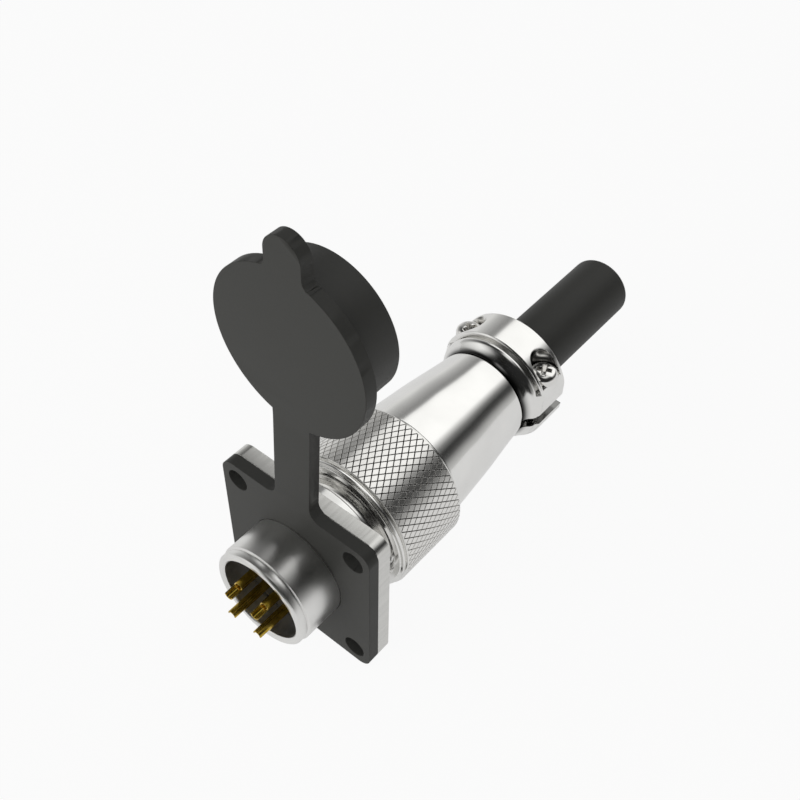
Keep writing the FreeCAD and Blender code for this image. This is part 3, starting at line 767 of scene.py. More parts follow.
    @staticmethod
    def soften(piece: Piece, width: float, segments: int = 2, angle: float = 30.0) -> Piece:
        """Bevel the sharp edges and shade the rest smooth.

        Args:
            piece: the piece to finish.
            width: the bevel's width in millimetres, 0 for none.
            segments: its steps.
            angle: edges sharper than this, in degrees, are bevelled.

        Returns:
            The finished piece.
        """
        Bench.take(piece)
        if width > 0:
            bevel = piece.modifiers.new("edges", "BEVEL")
            bevel.width = width * MM
            bevel.segments = segments
            bevel.limit_method = "ANGLE"
            bevel.angle_limit = math.radians(angle)
            bpy.ops.object.modifier_apply(modifier=bevel.name)
        bpy.ops.object.shade_smooth_by_angle(angle=math.radians(angle))
        if width > 0:
            flat = piece.modifiers.new("flat faces stay flat", "WEIGHTED_NORMAL")
            flat.keep_sharp = True
            bpy.ops.object.modifier_apply(modifier=flat.name)
        return piece

    @staticmethod
    def trim(piece: Piece, low: float, high: float) -> Piece:
        """Cut off all that lies beyond two planes across the Y axis, and close the cuts.

        Args:
            piece: the piece to trim.
            low: where it shall begin along Y, in millimetres.
            high: where it shall end.

        Returns:
            The same piece.
        """
        for place, way in ((low, -1), (high, 1)):
            Bench.shape(piece, lambda v: True, bpy.ops.mesh.bisect, plane_co=(0, place * MM, 0),
                        plane_no=(0, way, 0), use_fill=True, clear_outer=True)
        return piece

    @staticmethod
    def gather(pieces: list[Piece], name: str) -> Piece:
        """Join pieces into one.

        Args:
            pieces: what is joined.
            name: the name of the whole.

        Returns:
            The joined piece.
        """
        Bench.clear()
        for piece in pieces:
            piece.select_set(True)
        bpy.context.view_layer.objects.active = pieces[0]
        bpy.ops.object.join()
        pieces[0].name = name
        return pieces[0]

    @staticmethod
    def round_upright(piece: Piece, radius: float, steps: int) -> Piece:
        """Round the four edges of a box that run along Y.

        Args:
            piece: the box.
            radius: of the corners, in millimetres.
            steps: segments in each.

        Returns:
            The same piece.
        """
        Bench.take(piece)
        bpy.ops.object.mode_set(mode="EDIT")
        bpy.ops.mesh.select_mode(type="EDGE")
        bpy.ops.mesh.select_all(action="DESELECT")
        bpy.ops.object.mode_set(mode="OBJECT")
        points = piece.data.vertices
        for edge in piece.data.edges:
            way = points[edge.vertices[0]].co - points[edge.vertices[1]].co
            edge.select = abs(way.y) > 0.9 * way.length
        bpy.ops.object.mode_set(mode="EDIT")
        bpy.ops.mesh.bevel(offset=radius * MM, segments=steps, affect="EDGES")
        bpy.ops.object.mode_set(mode="OBJECT")
        return piece

    @staticmethod
    def helix(name: str, root: float, crest: float, start: float, pitch: float, turns: int,
              steps: int) -> Piece:
        """Wind a thread's ridge along Y.

        Args:
            name: the piece's name.
            root: the ridge's inner radius, in millimetres.
            crest: its outer radius.
            start: where it begins along Y.
            pitch: of one turn.
            turns: how many.
            steps: segments in a turn.

        Returns:
            The ridge.
        """
        foot, flank = 0.84, 0.2
        middle, centre = (root + crest) / 2 * MM, (start + pitch / 2) * MM
        Bench.clear()
        bpy.ops.mesh.primitive_plane_add(size=MM, location=(middle, centre, 0))
        ridge = bpy.context.object
        ridge.scale = (crest - root, pitch * foot, 1)
        Bench.settle(ridge, name)
        Bench.pick(ridge, lambda v: v.x > middle)
        bpy.ops.transform.resize(value=(1, flank, 1), center_override=(0, centre, 0))
        bpy.ops.mesh.select_all(action="SELECT")
        bpy.ops.mesh.delete(type="ONLY_FACE")
        bpy.ops.object.mode_set(mode="OBJECT")
        wind = ridge.modifiers.new("wind", "SCREW")
        wind.axis = "Y"
        wind.screw_offset = pitch * MM
        wind.iterations = turns
        wind.steps = wind.render_steps = steps
        wind.use_merge_vertices = True
        Bench.take(ridge)
        bpy.ops.object.modifier_apply(modifier=wind.name)
        return Bench.soften(Bench.heal(ridge), 0, 0, 35)

    @staticmethod
    def row(piece: Piece, count: int, step: float = 0.0, turn: float = 0.0) -> Piece:
        """Copy a piece along the Y axis or round it.

        Args:
            piece: the first one.
            count: how many in all.
            step: from one to the next along Y, in millimetres.
            turn: from one to the next about Y, in radians.

        Returns:
            The piece with its copies.
        """
        Bench.clear()
        bpy.ops.object.empty_add(location=(0, step * MM, 0), rotation=(0, turn, 0))
        spoke = bpy.context.object
        row = piece.modifiers.new("row", "ARRAY")
        row.use_relative_offset = False
        row.use_object_offset = True
        row.offset_object = spoke
        row.count = count
        bpy.context.view_layer.update()
        Bench.take(piece)
        bpy.ops.object.modifier_apply(modifier=row.name)
        bpy.data.objects.remove(spoke)
        return piece

    @staticmethod
    def twin(piece: Piece, name: str, shift: tuple, turn: tuple) -> Piece:
        """Duplicate a piece with its own mesh, moved and turned.

        Args:
            piece: the piece to copy.
            name: of the copy.
            shift: in millimetres.
            turn: in radians about each axis.

        Returns:
            The copy.
        """
        Bench.take(piece)
        bpy.ops.object.duplicate(linked=False)
        copy = bpy.context.object
        copy.location = Vector(shift) * MM
        copy.rotation_euler = turn
        return Bench.settle(copy, name)


def fit(piece: Piece, body: Body, finish: Finish, *nodes: str) -> Piece:
    """Dress a piece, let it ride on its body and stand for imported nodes.

    Args:
        piece: the finished piece.
        body: the body that carries it.
        finish: what it wears.
        nodes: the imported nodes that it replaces.

    Returns:
        The same piece.
    """
    finish.dress(piece)
    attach(piece, body.value)
    if nodes:
        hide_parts(*nodes)
    return piece


@dataclass
class Studio:
    """A pale floor, soft light and the photograph's camera."""

    lens_mm: float = 49.714
    place_mm: tuple[float, float, float] = (86.804, -79.829, 171.097)
    right: tuple[float, float, float] = (0.769128, 0.638816, 0.018892)
    up: tuple[float, float, float] = (-0.477996, 0.555377, 0.680497)
    back: tuple[float, float, float] = (0.424220, -0.532419, 0.732507)
    sensor_mm: float = 36.0
    clip: tuple[float, float] = (0.005, 10.0)
    floor_z: float = -17.75
    floor_side: float = 4.0
    floor_colour: Colour = (0.8, 0.8, 0.79)
    floor_seen: float = 0.93
    floor_mirrored: float = 0.55
    backdrop: Colour = (0.965, 0.965, 0.962)
    rear_light: Colour = (0.32, 0.32, 0.32)
    front_light: Colour = (0.92, 0.92, 0.91)
    light_y: tuple[float, float] = (0.1, -0.8)
    high_y: tuple[float, float] = (0.39, 0.45)
    near_y: tuple[float, float] = (-0.30, -0.05)
    lamp_watt: float = 1.2
    lamp_wide: float = 0.5
    lamp_place: tuple[float, float, float] = (-0.15, -0.58, 0.14)
    lamp_aim: tuple[float, float, float] = (0, 0.04, 0)
    high: tuple[tuple[float, float], ...] = (
        (-180, 0.9), (-138, 0.72), (-84, 0.75), (-70, 0.5), (-48, 0.26), (-41, 0.3), (-37, 0.95),
        (-30, 1.1), (30, 1.15), (38, 0.6), (46, 0.2), (57, 0.03), (68, 0.08), (80, 0.4), (90, 0.55),
        (140, 0.6), (160, 0.75), (180, 0.9))
    low: tuple[tuple[float, float], ...] = (
        (-180, 0.05), (-150, 0.4), (-120, 0.65), (-90, 0.5), (-70, 0.3), (-45, 0.06), (-12, 0.02),
        (-4, 0.12), (2, 0.8), (14, 0.85), (22, 0.3), (32, 0.03), (66, 0.015), (84, 0.25), (98, 0.75),
        (126, 0.75), (145, 0.35), (165, 0.05), (180, 0.05))
    near: tuple[tuple[float, float], ...] = (
        (-180, 0.3), (-90, 0.6), (-50, 1.0), (-35, 0.6), (-20, 0.1), (-5, 0.02), (120, 0.02), (180, 0.3))

    def camera(self) -> None:
        """Set the camera where the photograph was taken from."""
        data = bpy.data.cameras.new("view")
        data.lens = self.lens_mm
        data.sensor_width = self.sensor_mm
        data.clip_start, data.clip_end = self.clip
        eye = bpy.data.objects.new("view", data)
        bpy.context.scene.collection.objects.link(eye)
        axes = Matrix((self.right, self.up, self.back)).transposed().to_4x4()
        eye.matrix_world = Matrix.Translation(Vector(self.place_mm) * MM) @ axes
        bpy.context.scene.camera = eye

    def floor(self) -> None:
        """Lay a wide pale floor under the flange."""
        Bench.clear()
        bpy.ops.mesh.primitive_plane_add(size=self.floor_side, location=(0, 0, self.floor_z * MM))
        plane = Bench.settle(bpy.context.object, "floor")
        cloth = bpy.data.materials.new("pale floor")
        cloth.use_nodes = True
        graph = Graph(cloth.node_tree)
        path = "ShaderNodeLightPath"
        seen = graph.node(path, out="Is Camera Ray") + graph.node(path, out="Is Transmission Ray")
        seen = seen * self.floor_seen + graph.node(path, out="Is Glossy Ray") * self.floor_mirrored
        mat = graph.node("ShaderNodeBsdfDiffuse", {}, {"Color": (*self.floor_colour, 1)})
        white = graph.node("ShaderNodeEmission", {}, {"Color": (1, 1, 1, 1), "Strength": 1.0})
        graph.close(graph.node("ShaderNodeMixShader", {}, {0: seen, 1: mat, 2: white}))
        plane.data.materials.append(cloth)

    @staticmethod
    def walls(graph: Graph, turn: Term, tones: tuple[tuple[float, float], ...]) -> Term:
        """The room's walls in soft bands along Y: a brightness at each angle, from -180 to 180 degrees."""
        steps = [((angle + 180) / 360, (tone, tone, tone * 0.985)) for angle, tone in tones]
        return graph.node("ShaderNodeValToRGB", {"stops": steps}, {0: turn})

    def world(self) -> None:
        """Light the room: even for mat surfaces, in soft bands for polished ones."""
        room = bpy.data.worlds.new("room")
        bpy.context.scene.world = room
        room.use_nodes = True
        graph = Graph(room.node_tree)
        x, y, z = graph.place("Generated")
        turn = x.turn_from(z) / (2 * math.pi) + 0.5
        high, low, near = (self.walls(graph, turn, tones) for tones in (self.high, self.low, self.near))
        bands = graph.blend_colours(y.clamped(*self.high_y), low, high)
        bands = graph.blend_colours(y.clamped(*self.near_y), near, bands)
        path = "ShaderNodeLightPath"
        even = graph.blend_colours(y.clamped(*self.light_y), self.rear_light, self.front_light)
        light = graph.blend_colours(graph.node(path, out="Is Glossy Ray"), even, bands)
        seen = graph.node(path, out="Is Camera Ray") + graph.node(path, out="Is Transmission Ray")
        light = graph.blend_colours(seen, light, self.backdrop)
        back = graph.node("ShaderNodeBackground", {}, {"Color": light, "Strength": 1.0})
        end = graph.tree.nodes.new("ShaderNodeOutputWorld")
        graph.tree.links.new(back.socket, end.inputs["Surface"])
        room.cycles.sampling_method = "NONE"

    def lamp(self) -> None:
        """Stand one large soft lamp in front, seen by mat surfaces only as light."""
        data = bpy.data.lights.new("soft lamp", "AREA")
        data.shape = "DISK"
        data.size = self.lamp_wide
        data.energy = self.lamp_watt
        lamp = bpy.data.objects.new("soft lamp", data)
        bpy.context.scene.collection.objects.link(lamp)
        lamp.location = self.lamp_place
        aim = Vector(self.lamp_aim) - lamp.location
        lamp.rotation_euler = aim.to_track_quat("-Z", "Y").to_euler()
        lamp.visible_glossy = False

    def build(self) -> None:
        """Make the whole studio."""
        self.camera()
        self.floor()
        self.world()
        self.lamp()
        view = bpy.context.scene.view_settings
        view.view_transform = "Standard"


@dataclass
class Receptacle:
    """The fixed half: flange, barrels and insulator."""

    side: float = 35.3
    corner: float = 2.8
    gasket: float = 2.4
    thick: float = 3.1
    pitch: float = 27.7
    hole_r: float = 2.3
    barrel_r: float = 10.75
    barrel_bore: float = 8.9
    rim: float = 0.3
    rim_edge: float = 0.4
    line: float = 0.42
    edge: float = 0.35
    bore_edge: float = 0.3
    sunk: float = 0.3
    mouth_y: float = -10.2
    line_y: float = -8.5
    collar_r: float = 12.7
    collar_end: float = 10.0
    thread_r: float = 12.0
    thread_end: float = 22.5
    thread_pitch: float = 1.0
    thread_depth: float = 0.55
    undercut: float = 1.3
    bite: float = 0.04
    mating_bore: float = 10.6
    seat_y: float = 2.0
    keys: tuple[tuple[float, float], ...] = KEYS
    key_top: float = 9.9
    key_ends: tuple[float, float] = (8.8, 21.0)

    def shell(self) -> Piece:
        """Turn the body with its two barrels.

        Returns:
            The turned body.
        """
        root = self.thread_r - self.thread_depth
        flange_end = self.gasket + self.thick
        rim = self.barrel_r - self.rim
        line = self.barrel_r - self.line
        stations = [
            (self.barrel_bore, self.seat_y), (self.barrel_bore, self.mouth_y + self.edge),
            (self.barrel_bore + self.edge, self.mouth_y), (rim - self.rim_edge, self.mouth_y),
            (rim, self.mouth_y + self.rim_edge), (rim, self.line_y),
            (line, self.line_y + 0.06), (line, self.line_y + 0.2),
            (self.barrel_r, self.line_y + 0.4), (self.barrel_r, flange_end - self.sunk),
            (self.collar_r, flange_end - self.sunk), (self.collar_r, self.collar_end - self.edge),
            (self.collar_r - self.edge, self.collar_end), (root, self.collar_end), (root, self.thread_end),
            (self.mating_bore + self.bore_edge, self.thread_end),
            (self.mating_bore, self.thread_end - self.bore_edge),
            (self.mating_bore, self.seat_y), (self.barrel_bore, self.seat_y),
        ]
        body = Bench.soften(Bench.turned("receptacle_body", stations, 192), 0.1, 2, 25)
        ribs = [Bench.rib("key", turn, width, (self.key_top, self.mating_bore + 0.2), self.key_ends)
                for turn, width in self.keys]
        return Bench.gather([body, *(Bench.soften(rib, 0.1, 2, 30) for rib in ribs)], "receptacle_body")

    def thread(self) -> Piece:
        """Wind one helical ridge round the mating barrel.

        Returns:
            The ridge.
        """
        start = self.collar_end + self.undercut
        root = self.thread_r - self.thread_depth - self.bite
        turns = int(self.thread_end - start - self.bore_edge)
        return Bench.helix("receptacle_thread", root, self.thread_r, start, self.thread_pitch, turns, 96)

    def flange(self) -> Piece:
        """Cut the square flange with round corners and four holes.

        Returns:
            The plate.
        """
        half = self.side / 2
        end = self.gasket + self.thick
        plate = Bench.block("flange_plate", (-half, self.gasket, -half), (half, end, half))
        plate = Bench.round_upright(plate, self.corner, 12)
        Bench.drill(plate, self.hole_r, self.pitch, (self.gasket - 1, end + 1))
        Bench.carve(plate, Bench.rod("bore", self.barrel_r - self.sunk, (0, 0, 0), (0, end + 1, 0), 192))
        return Bench.soften(plate, 0.25, 3, 40)

    def build(self) -> None:
        """Make and place the pieces of the fixed half."""
        fit(self.shell(), Body.RECEPTACLE, BARREL, "receptacle_shell")
        fit(self.thread(), Body.RECEPTACLE, POLISHED)
        fit(self.flange(), Body.RECEPTACLE, FLANGE)
        INSULATOR.dress(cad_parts["receptacle_insulator"])
        SPRING.dress(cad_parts["receptacle_retaining_ring"])
        RUBBER.dress(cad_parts["interface_seal"])


@dataclass
class Contacts:
    """The gold contacts and the plug's insulator."""

    offset: float = 3.2
    cup_r: float = 0.95
    bore: float = 0.65
    tip_y: float = -14.2
    open_y: float = -11.75
    floor_y: float = -11.2
    shoulder_y: float = 2.0
    shoulder_r: float = 1.6
    shoulder_long: float = 2.0
    pin_r: float = 0.8
    pin_end: float = 17.0
    edge: float = 0.06
    soft: float = 0.11

    def pin(self, number: int, x: float, z: float, up: bool) -> Piece:
        """Turn one pin with its solder cup and open the cup's side.

        Args:
            number: of the contact.
            x: its place across.
            z: its place in height.
            up: whether the cup opens upwards.

        Returns:
            The pin at its place.
        """
        stations = [
            (0, self.floor_y), (self.bore, self.floor_y), (self.bore, self.tip_y + self.edge),
            (self.bore + self.edge, self.tip_y), (self.cup_r - self.edge, self.tip_y),
            (self.cup_r, self.tip_y + self.edge), (self.cup_r, self.shoulder_y),
            (self.shoulder_r, self.shoulder_y), (self.shoulder_r, self.shoulder_y + self.shoulder_long),
            (self.pin_r, self.shoulder_y + self.shoulder_long), (self.pin_r, self.pin_end - 0.8),
            (self.pin_r * 0.75, self.pin_end - 0.3), (self.pin_r * 0.4, self.pin_end), (0, self.pin_end),
        ]
        pin = Bench.turned(f"pin_{number}", stations, 48)
        Bench.carve(pin, Bench.block("open side", (-2, self.tip_y - 1, 0), (2, self.open_y, 2 if up else -2)))
        Bench.take(pin)
        pin.location = (x * MM, 0, z * MM)
        return Bench.soften(Bench.settle(pin, f"pin_{number}"), self.soft, 3, 40)

    def build(self) -> None:
        """Make the pins and dress what holds them."""
        places = [(sx * self.offset, sz * self.offset) for sz in (1, -1) for sx in (-1, 1)]
        for number, (x, z) in enumerate(places, start=1):
            fit(self.pin(number, x, z, z > 0), Body.RECEPTACLE, GOLD, f"contact_pin_{number}")
            GOLD.dress(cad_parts[f"contact_socket_{number}"])
        INSULATOR.dress(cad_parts["plug_insulator"])
        POLISHED.dress(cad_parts["plug_retaining_ring"])
        SPRING.dress(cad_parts["coupling_snap_ring"])


@dataclass
class RubberCap:
    """The gasket, strap and cap, one soft moulding that bends at its strap."""

    side: float = 35.3
    corner: float = 2.8
    thick: float = 2.4
    pitch: float = 27.7
    hole_r: float = 2.3
    bore: float = 10.8
    strap: float = 4.05
    fillet: float = 2.5
    tab_fillet: float = 1.6
    bite: float = 0.5
    hinge_z: float = 19.2
    cap_z: float = 55.0
    cap_r: float = 15.6
    cup_in: float = 12.05
    cup_out: float = 13.1
    cup_end: float = 10.7
    tab: float = 3.65
    tab_end: float = 73.5
    rows_from: float = 17.9
    row: float = 0.7
    rows: int = 31
    lean: float = 2.55
    lean_from: tuple[float, ...] = (18.7, 19.4, 20.1)
    lean_back: tuple[float, ...] = (37.6, 38.3, 39.0)
    tilt: float = 1.2
    bend_from: float = 17.8
    bend_to: float = 33.0

    def web(self, x: float, z: float, way: int, radius: float) -> Piece:
        """Fill an inner corner that opens upwards.

        Args:
            x: the corner's place across.
            z: its height.
            way: 1 when the filling lies to the right, -1 to the left.
            radius: of its hollow.

        Returns:
            The filling, let a little into its neighbours.
        """
        far, top = x + way * radius, z + radius
        web = Bench.block("web", (x - way * self.bite, 0, z - self.bite), (far, self.thick, top))
        return Bench.carve(web, Bench.rod("round", radius, (far, -1, top), (far, self.thick + 1, top), 96))

    def moulding(self) -> Piece:
        """Join the flat moulding from its simple forms.

        Returns:
            The flat moulding.
        """
        half = self.side / 2
        whole = Bench.block("rubber_moulding", (-half, 0, -half), (half, self.thick, half))
        Bench.round_upright(whole, self.corner, 12)
        strap_end = self.cap_z - self.cap_r + 3
        adds = [
            Bench.block("strap", (-self.strap, 0, half - 3), (self.strap, self.thick, strap_end)),
            Bench.rod("disc", self.cap_r, (0, 0, self.cap_z), (0, self.thick, self.cap_z), 160),
            Bench.block("tab", (-self.tab, 0, self.cap_z + 5), (self.tab, self.thick, self.tab_end)),
            Bench.rod("tab end", self.tab, (0, 0, self.tab_end), (0, self.thick, self.tab_end), 64),
        ]
        root = self.cap_z + math.sqrt(self.cap_r ** 2 - self.tab ** 2) - 0.4
        for way in (-1, 1):
            adds.append(self.web(way * self.strap, half, way, self.fillet))
            adds.append(self.web(way * self.tab, root, way, self.tab_fillet))
        for form in adds:
            Bench.carve(whole, form, "UNION")
        Bench.drill(whole, self.hole_r, self.pitch, (-1, self.thick + 1))
        Bench.carve(whole, Bench.rod("bore", self.bore, (0, -1, 0), (0, self.thick + 1, 0), 160))
        return Bench.soften(whole, 0.32, 3, 40)

    def cup(self) -> Piece:
        """Turn the cup behind the disc.

        Returns:
            The cup at the cap's height.
        """
        middle = (self.cup_in + self.cup_out) / 2
        foot = self.thick - 0.05
        lip = [(0, -0.3), (0.12, -0.1)]
        stations = [
            (self.cup_in, foot), *((self.cup_in + r, self.cup_end + y) for r, y in lip),
            (middle - 0.15, self.cup_end), (middle + 0.15, self.cup_end),
            *((self.cup_out - r, self.cup_end + y) for r, y in reversed(lip)),
            (self.cup_out, self.thick + 0.4), (self.cup_out + 0.12, self.thick + 0.12),
            (self.cup_out + 0.4, foot), (self.cup_in, foot),
        ]
        cup = Bench.turned("cup", stations, 160)
        cup.location = (0, 0, self.cap_z * MM)
        return Bench.soften(Bench.settle(cup, "cup"), 0, 0, 35)

    def bend(self, piece: Piece) -> None:
        """Give the strap rows and lean it as it hangs in the photograph.

        Args:
            piece: the flat moulding.
        """
        for z in (self.rows_from + self.row * k for k in range(self.rows)):
            Bench.shape(piece, lambda v: True, bpy.ops.mesh.bisect, plane_co=(0, 0, z * MM),
                        plane_no=(0, 0, 1))
        turns = [(z, "X", z, self.lean / 3) for z in self.lean_from]
        turns += [(z, "X", z, -self.lean / 3) for z in self.lean_back]
        turns += [(self.hinge_z + 0.9 * k, "Y", self.hinge_z, -self.tilt / 4) for k in range(4)]
        for z, axis, centre, degrees in turns:
            Bench.shape(piece, lambda v: v.z > z * MM, bpy.ops.transform.rotate, orient_axis=axis,
                        value=math.radians(degrees), center_override=(0, 0, centre * MM))

    def build(self) -> None:
        """Make the moulding, lean its strap as it hangs and dress it, in place of the gasket and cap."""
        flat = self.moulding()
        piece = Bench.gather([flat, self.cup()], "rubber_moulding")
        self.bend(piece)
        Bench.soften(piece, 0, 0, 35)
        RUBBER.dress(piece)
        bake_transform(piece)
        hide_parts("flange_gasket", "dust_cap")


@dataclass
class CouplingRing:
    """The ring that draws the halves together, covered with diamonds."""

    front: float = 12.3
    band_end: float = 13.3
    band_r: float = 15.0
    line_r: float = 14.4
    knurl_low: float = 13.8
    knurl_high: float = 29.3
    end: float = 30.2
    crest_r: float = 15.46
    depth: float = 0.3
    flat: float = 0.85
    around: int = 66
    rows: int = 14
    bore: float = 12.06
    relief: float = 13.4
    relief_y: float = 23.3
    seat: float = 12.35
    lip_y: float = 25.6
    lead_in: float = 1.2
    end_edge: float = 0.65

    def drum(self) -> Piece:
        """Turn the body under the diamonds.

        Returns:
            The turned ring.
        """
        floor = self.crest_r - self.depth - 0.03
        rim = self.crest_r - 0.05
        step = ((-0.65, 0), (-0.5, 0.12), (-0.5, 0.3), (0, 0.42))
        stations = [
            (self.bore + self.lead_in, self.front), *((self.band_r + r, self.front + y) for r, y in step),
            (self.band_r, self.band_end), (self.line_r, self.band_end),
            (self.line_r, self.knurl_low - 0.3), (rim - 0.4, self.knurl_low - 0.2),
            (rim, self.knurl_low), (rim, self.knurl_low + 0.08), (floor, self.knurl_low + 0.12),
            (floor, self.knurl_high - 0.12), (rim, self.knurl_high - 0.08), (rim, self.knurl_high),
            (floor - self.end_edge, self.end), (self.seat, self.end), (self.seat, self.lip_y),
            (self.relief, self.lip_y), (self.relief, self.relief_y), (self.bore, self.relief_y - 0.4),
            (self.bore, self.front + self.lead_in), (self.bore + self.lead_in, self.front),
        ]
        return Bench.soften(Bench.turned("ring_drum", stations, 132), 0.06, 2, 25)

    def diamonds(self) -> Piece:
        """Raise one flat-topped diamond and copy it round the ring and along it.

        Returns:
            All the diamonds.
        """
        step = 2 * math.pi / self.around
        rise = (self.knurl_high - self.knurl_low) / self.rows
        low = self.crest_r - self.depth
        half = low * math.sin(step / 2)
        middle = (0, (self.knurl_low + rise) * MM, low * MM)
        Bench.clear()
        bpy.ops.mesh.primitive_circle_add(vertices=4, radius=MM, fill_type="NGON", location=middle)
        tile = bpy.context.object
        tile.scale = (half, rise, 1)
        Bench.settle(tile, "diamonds")
        bpy.ops.object.mode_set(mode="EDIT")
        bpy.ops.mesh.select_all(action="SELECT")
        bpy.ops.mesh.extrude_region_move(TRANSFORM_OT_translate={"value": (0, 0, self.depth * MM)})
        bpy.ops.transform.resize(value=(self.flat, self.flat, 1), center_override=middle)
        bpy.ops.mesh.subdivide(number_cuts=1)
        bpy.ops.object.mode_set(mode="OBJECT")
        for share in (0.5, 1.0):
            reach = half * self.flat * share
            sag = self.crest_r - math.sqrt(self.crest_r ** 2 - reach ** 2)
            Bench.shape(
                tile, lambda v: v.z > (low + self.depth / 2) * MM and abs(abs(v.x) - reach * MM) < MERGED,
                bpy.ops.transform.translate, value=(0, 0, -sag * MM))
        Bench.shape(
            tile, lambda v: v.z < (low + 0.01) * MM and abs(v.x) > half * 0.9 * MM,
            bpy.ops.transform.translate, value=(0, 0, (low * math.cos(step / 2) - low) * MM))
        Bench.soften(tile, 0, 0, 25)
        whole = Bench.row(tile, self.around, turn=step)
        other = Bench.twin(whole, "other rows", (0, -rise, 0), (0, step / 2, 0))
        Bench.row(whole, self.rows // 2, 2 * rise)
        Bench.row(other, self.rows // 2 + 1, 2 * rise)
        Bench.trim(other, self.knurl_low + 0.01, self.knurl_high - 0.01)
        return Bench.soften(Bench.gather([whole, other], "ring_diamonds"), 0, 0, 25)

    def build(self) -> None:
        """Make and place the ring."""
        fit(self.drum(), Body.RING, BAND, "coupling_ring")
        fit(self.diamonds(), Body.RING, KNURLED)


@dataclass
class PlugShell:
    """The tapering shell of the cable half."""

    nose_r: float = 10.4
    nose_y: float = 7.6
    nose_end: float = 23.6
    edge: float = 0.3
    key_room: float = 0.24
    bore: float = 9.0
    bore_end: float = 42.0
    seat_r: float = 12.3
    start: float = 30.6
    curve: tuple[Station, ...] = (
        (13.4, 31.0), (13.15, 34.5), (12.7, 39.3), (12.2, 44.5), (11.25, 52.0), (10.75, 56.5))
    end: float = 56.8
    neck_r: float = 8.9
    collar: tuple[float, float, float] = (10.3, 58.4, 59.9)
    sleeve_r: float = 7.25
    sleeve_y: float = 50.0
    cable_r: float = 5.6
    keys: tuple[tuple[float, float], ...] = KEYS
    keyway_floor: float = 9.78
    keyway_end: float = 22.7

    def outline(self) -> list[Station]:
        """Draw the body's tapering line through its stations.

        Returns:
            Closely spaced stations.
        """
        points = self.curve
        line: list[Station] = []
        for index in range(len(points) - 1):
            near = [points[min(max(index + k, 0), len(points) - 1)] for k in (-1, 0, 1, 2)]
            for step in range(6):
                t = step / 6
                weights = (-0.5 * t + t * t - 0.5 * t ** 3, 1 - 2.5 * t * t + 1.5 * t ** 3,
                           0.5 * t + 2 * t * t - 1.5 * t ** 3, -0.5 * t * t + 0.5 * t ** 3)
                line.append(tuple(sum(w * p[k] for w, p in zip(weights, near)) for k in (0, 1)))
        return line + [points[-1]]

    def build(self) -> None:
        """Turn and place the shell."""
        collar_r, collar_low, collar_high = self.collar
        stations = [
            (self.bore, self.bore_end), (self.bore, self.nose_y + self.edge),
            (self.bore + self.edge, self.nose_y), (self.nose_r - self.edge, self.nose_y),
            (self.nose_r, self.nose_y + self.edge), (self.nose_r, self.nose_end),
            (self.seat_r - self.edge, self.nose_end),
            (self.seat_r, self.nose_end + self.edge), (self.seat_r, self.start),
            (self.curve[0][0] - self.edge, self.start), *self.outline(),
            (self.curve[-1][0] - 0.25, self.end), (self.neck_r, self.end), (self.neck_r, collar_low),
            (collar_r, collar_low), (collar_r, collar_high), (self.sleeve_r, collar_high),
            (self.sleeve_r, self.sleeve_y), (self.cable_r, self.sleeve_y),
            (self.cable_r, self.sleeve_y - 1.5), (self.bore, self.bore_end),
        ]
        shell = Bench.turned("plug_body", stations, 192)
        ends = (self.nose_y - 1, self.keyway_end)
        for turn, width in self.keys:
            way = Bench.rib("keyway", turn, width + self.key_room, (self.keyway_floor, 12), ends)
            Bench.carve(shell, way)
        shell = Bench.soften(shell, 0.1, 2, 25)
        fit(shell, Body.PLUG, POLISHED, "plug_shell")


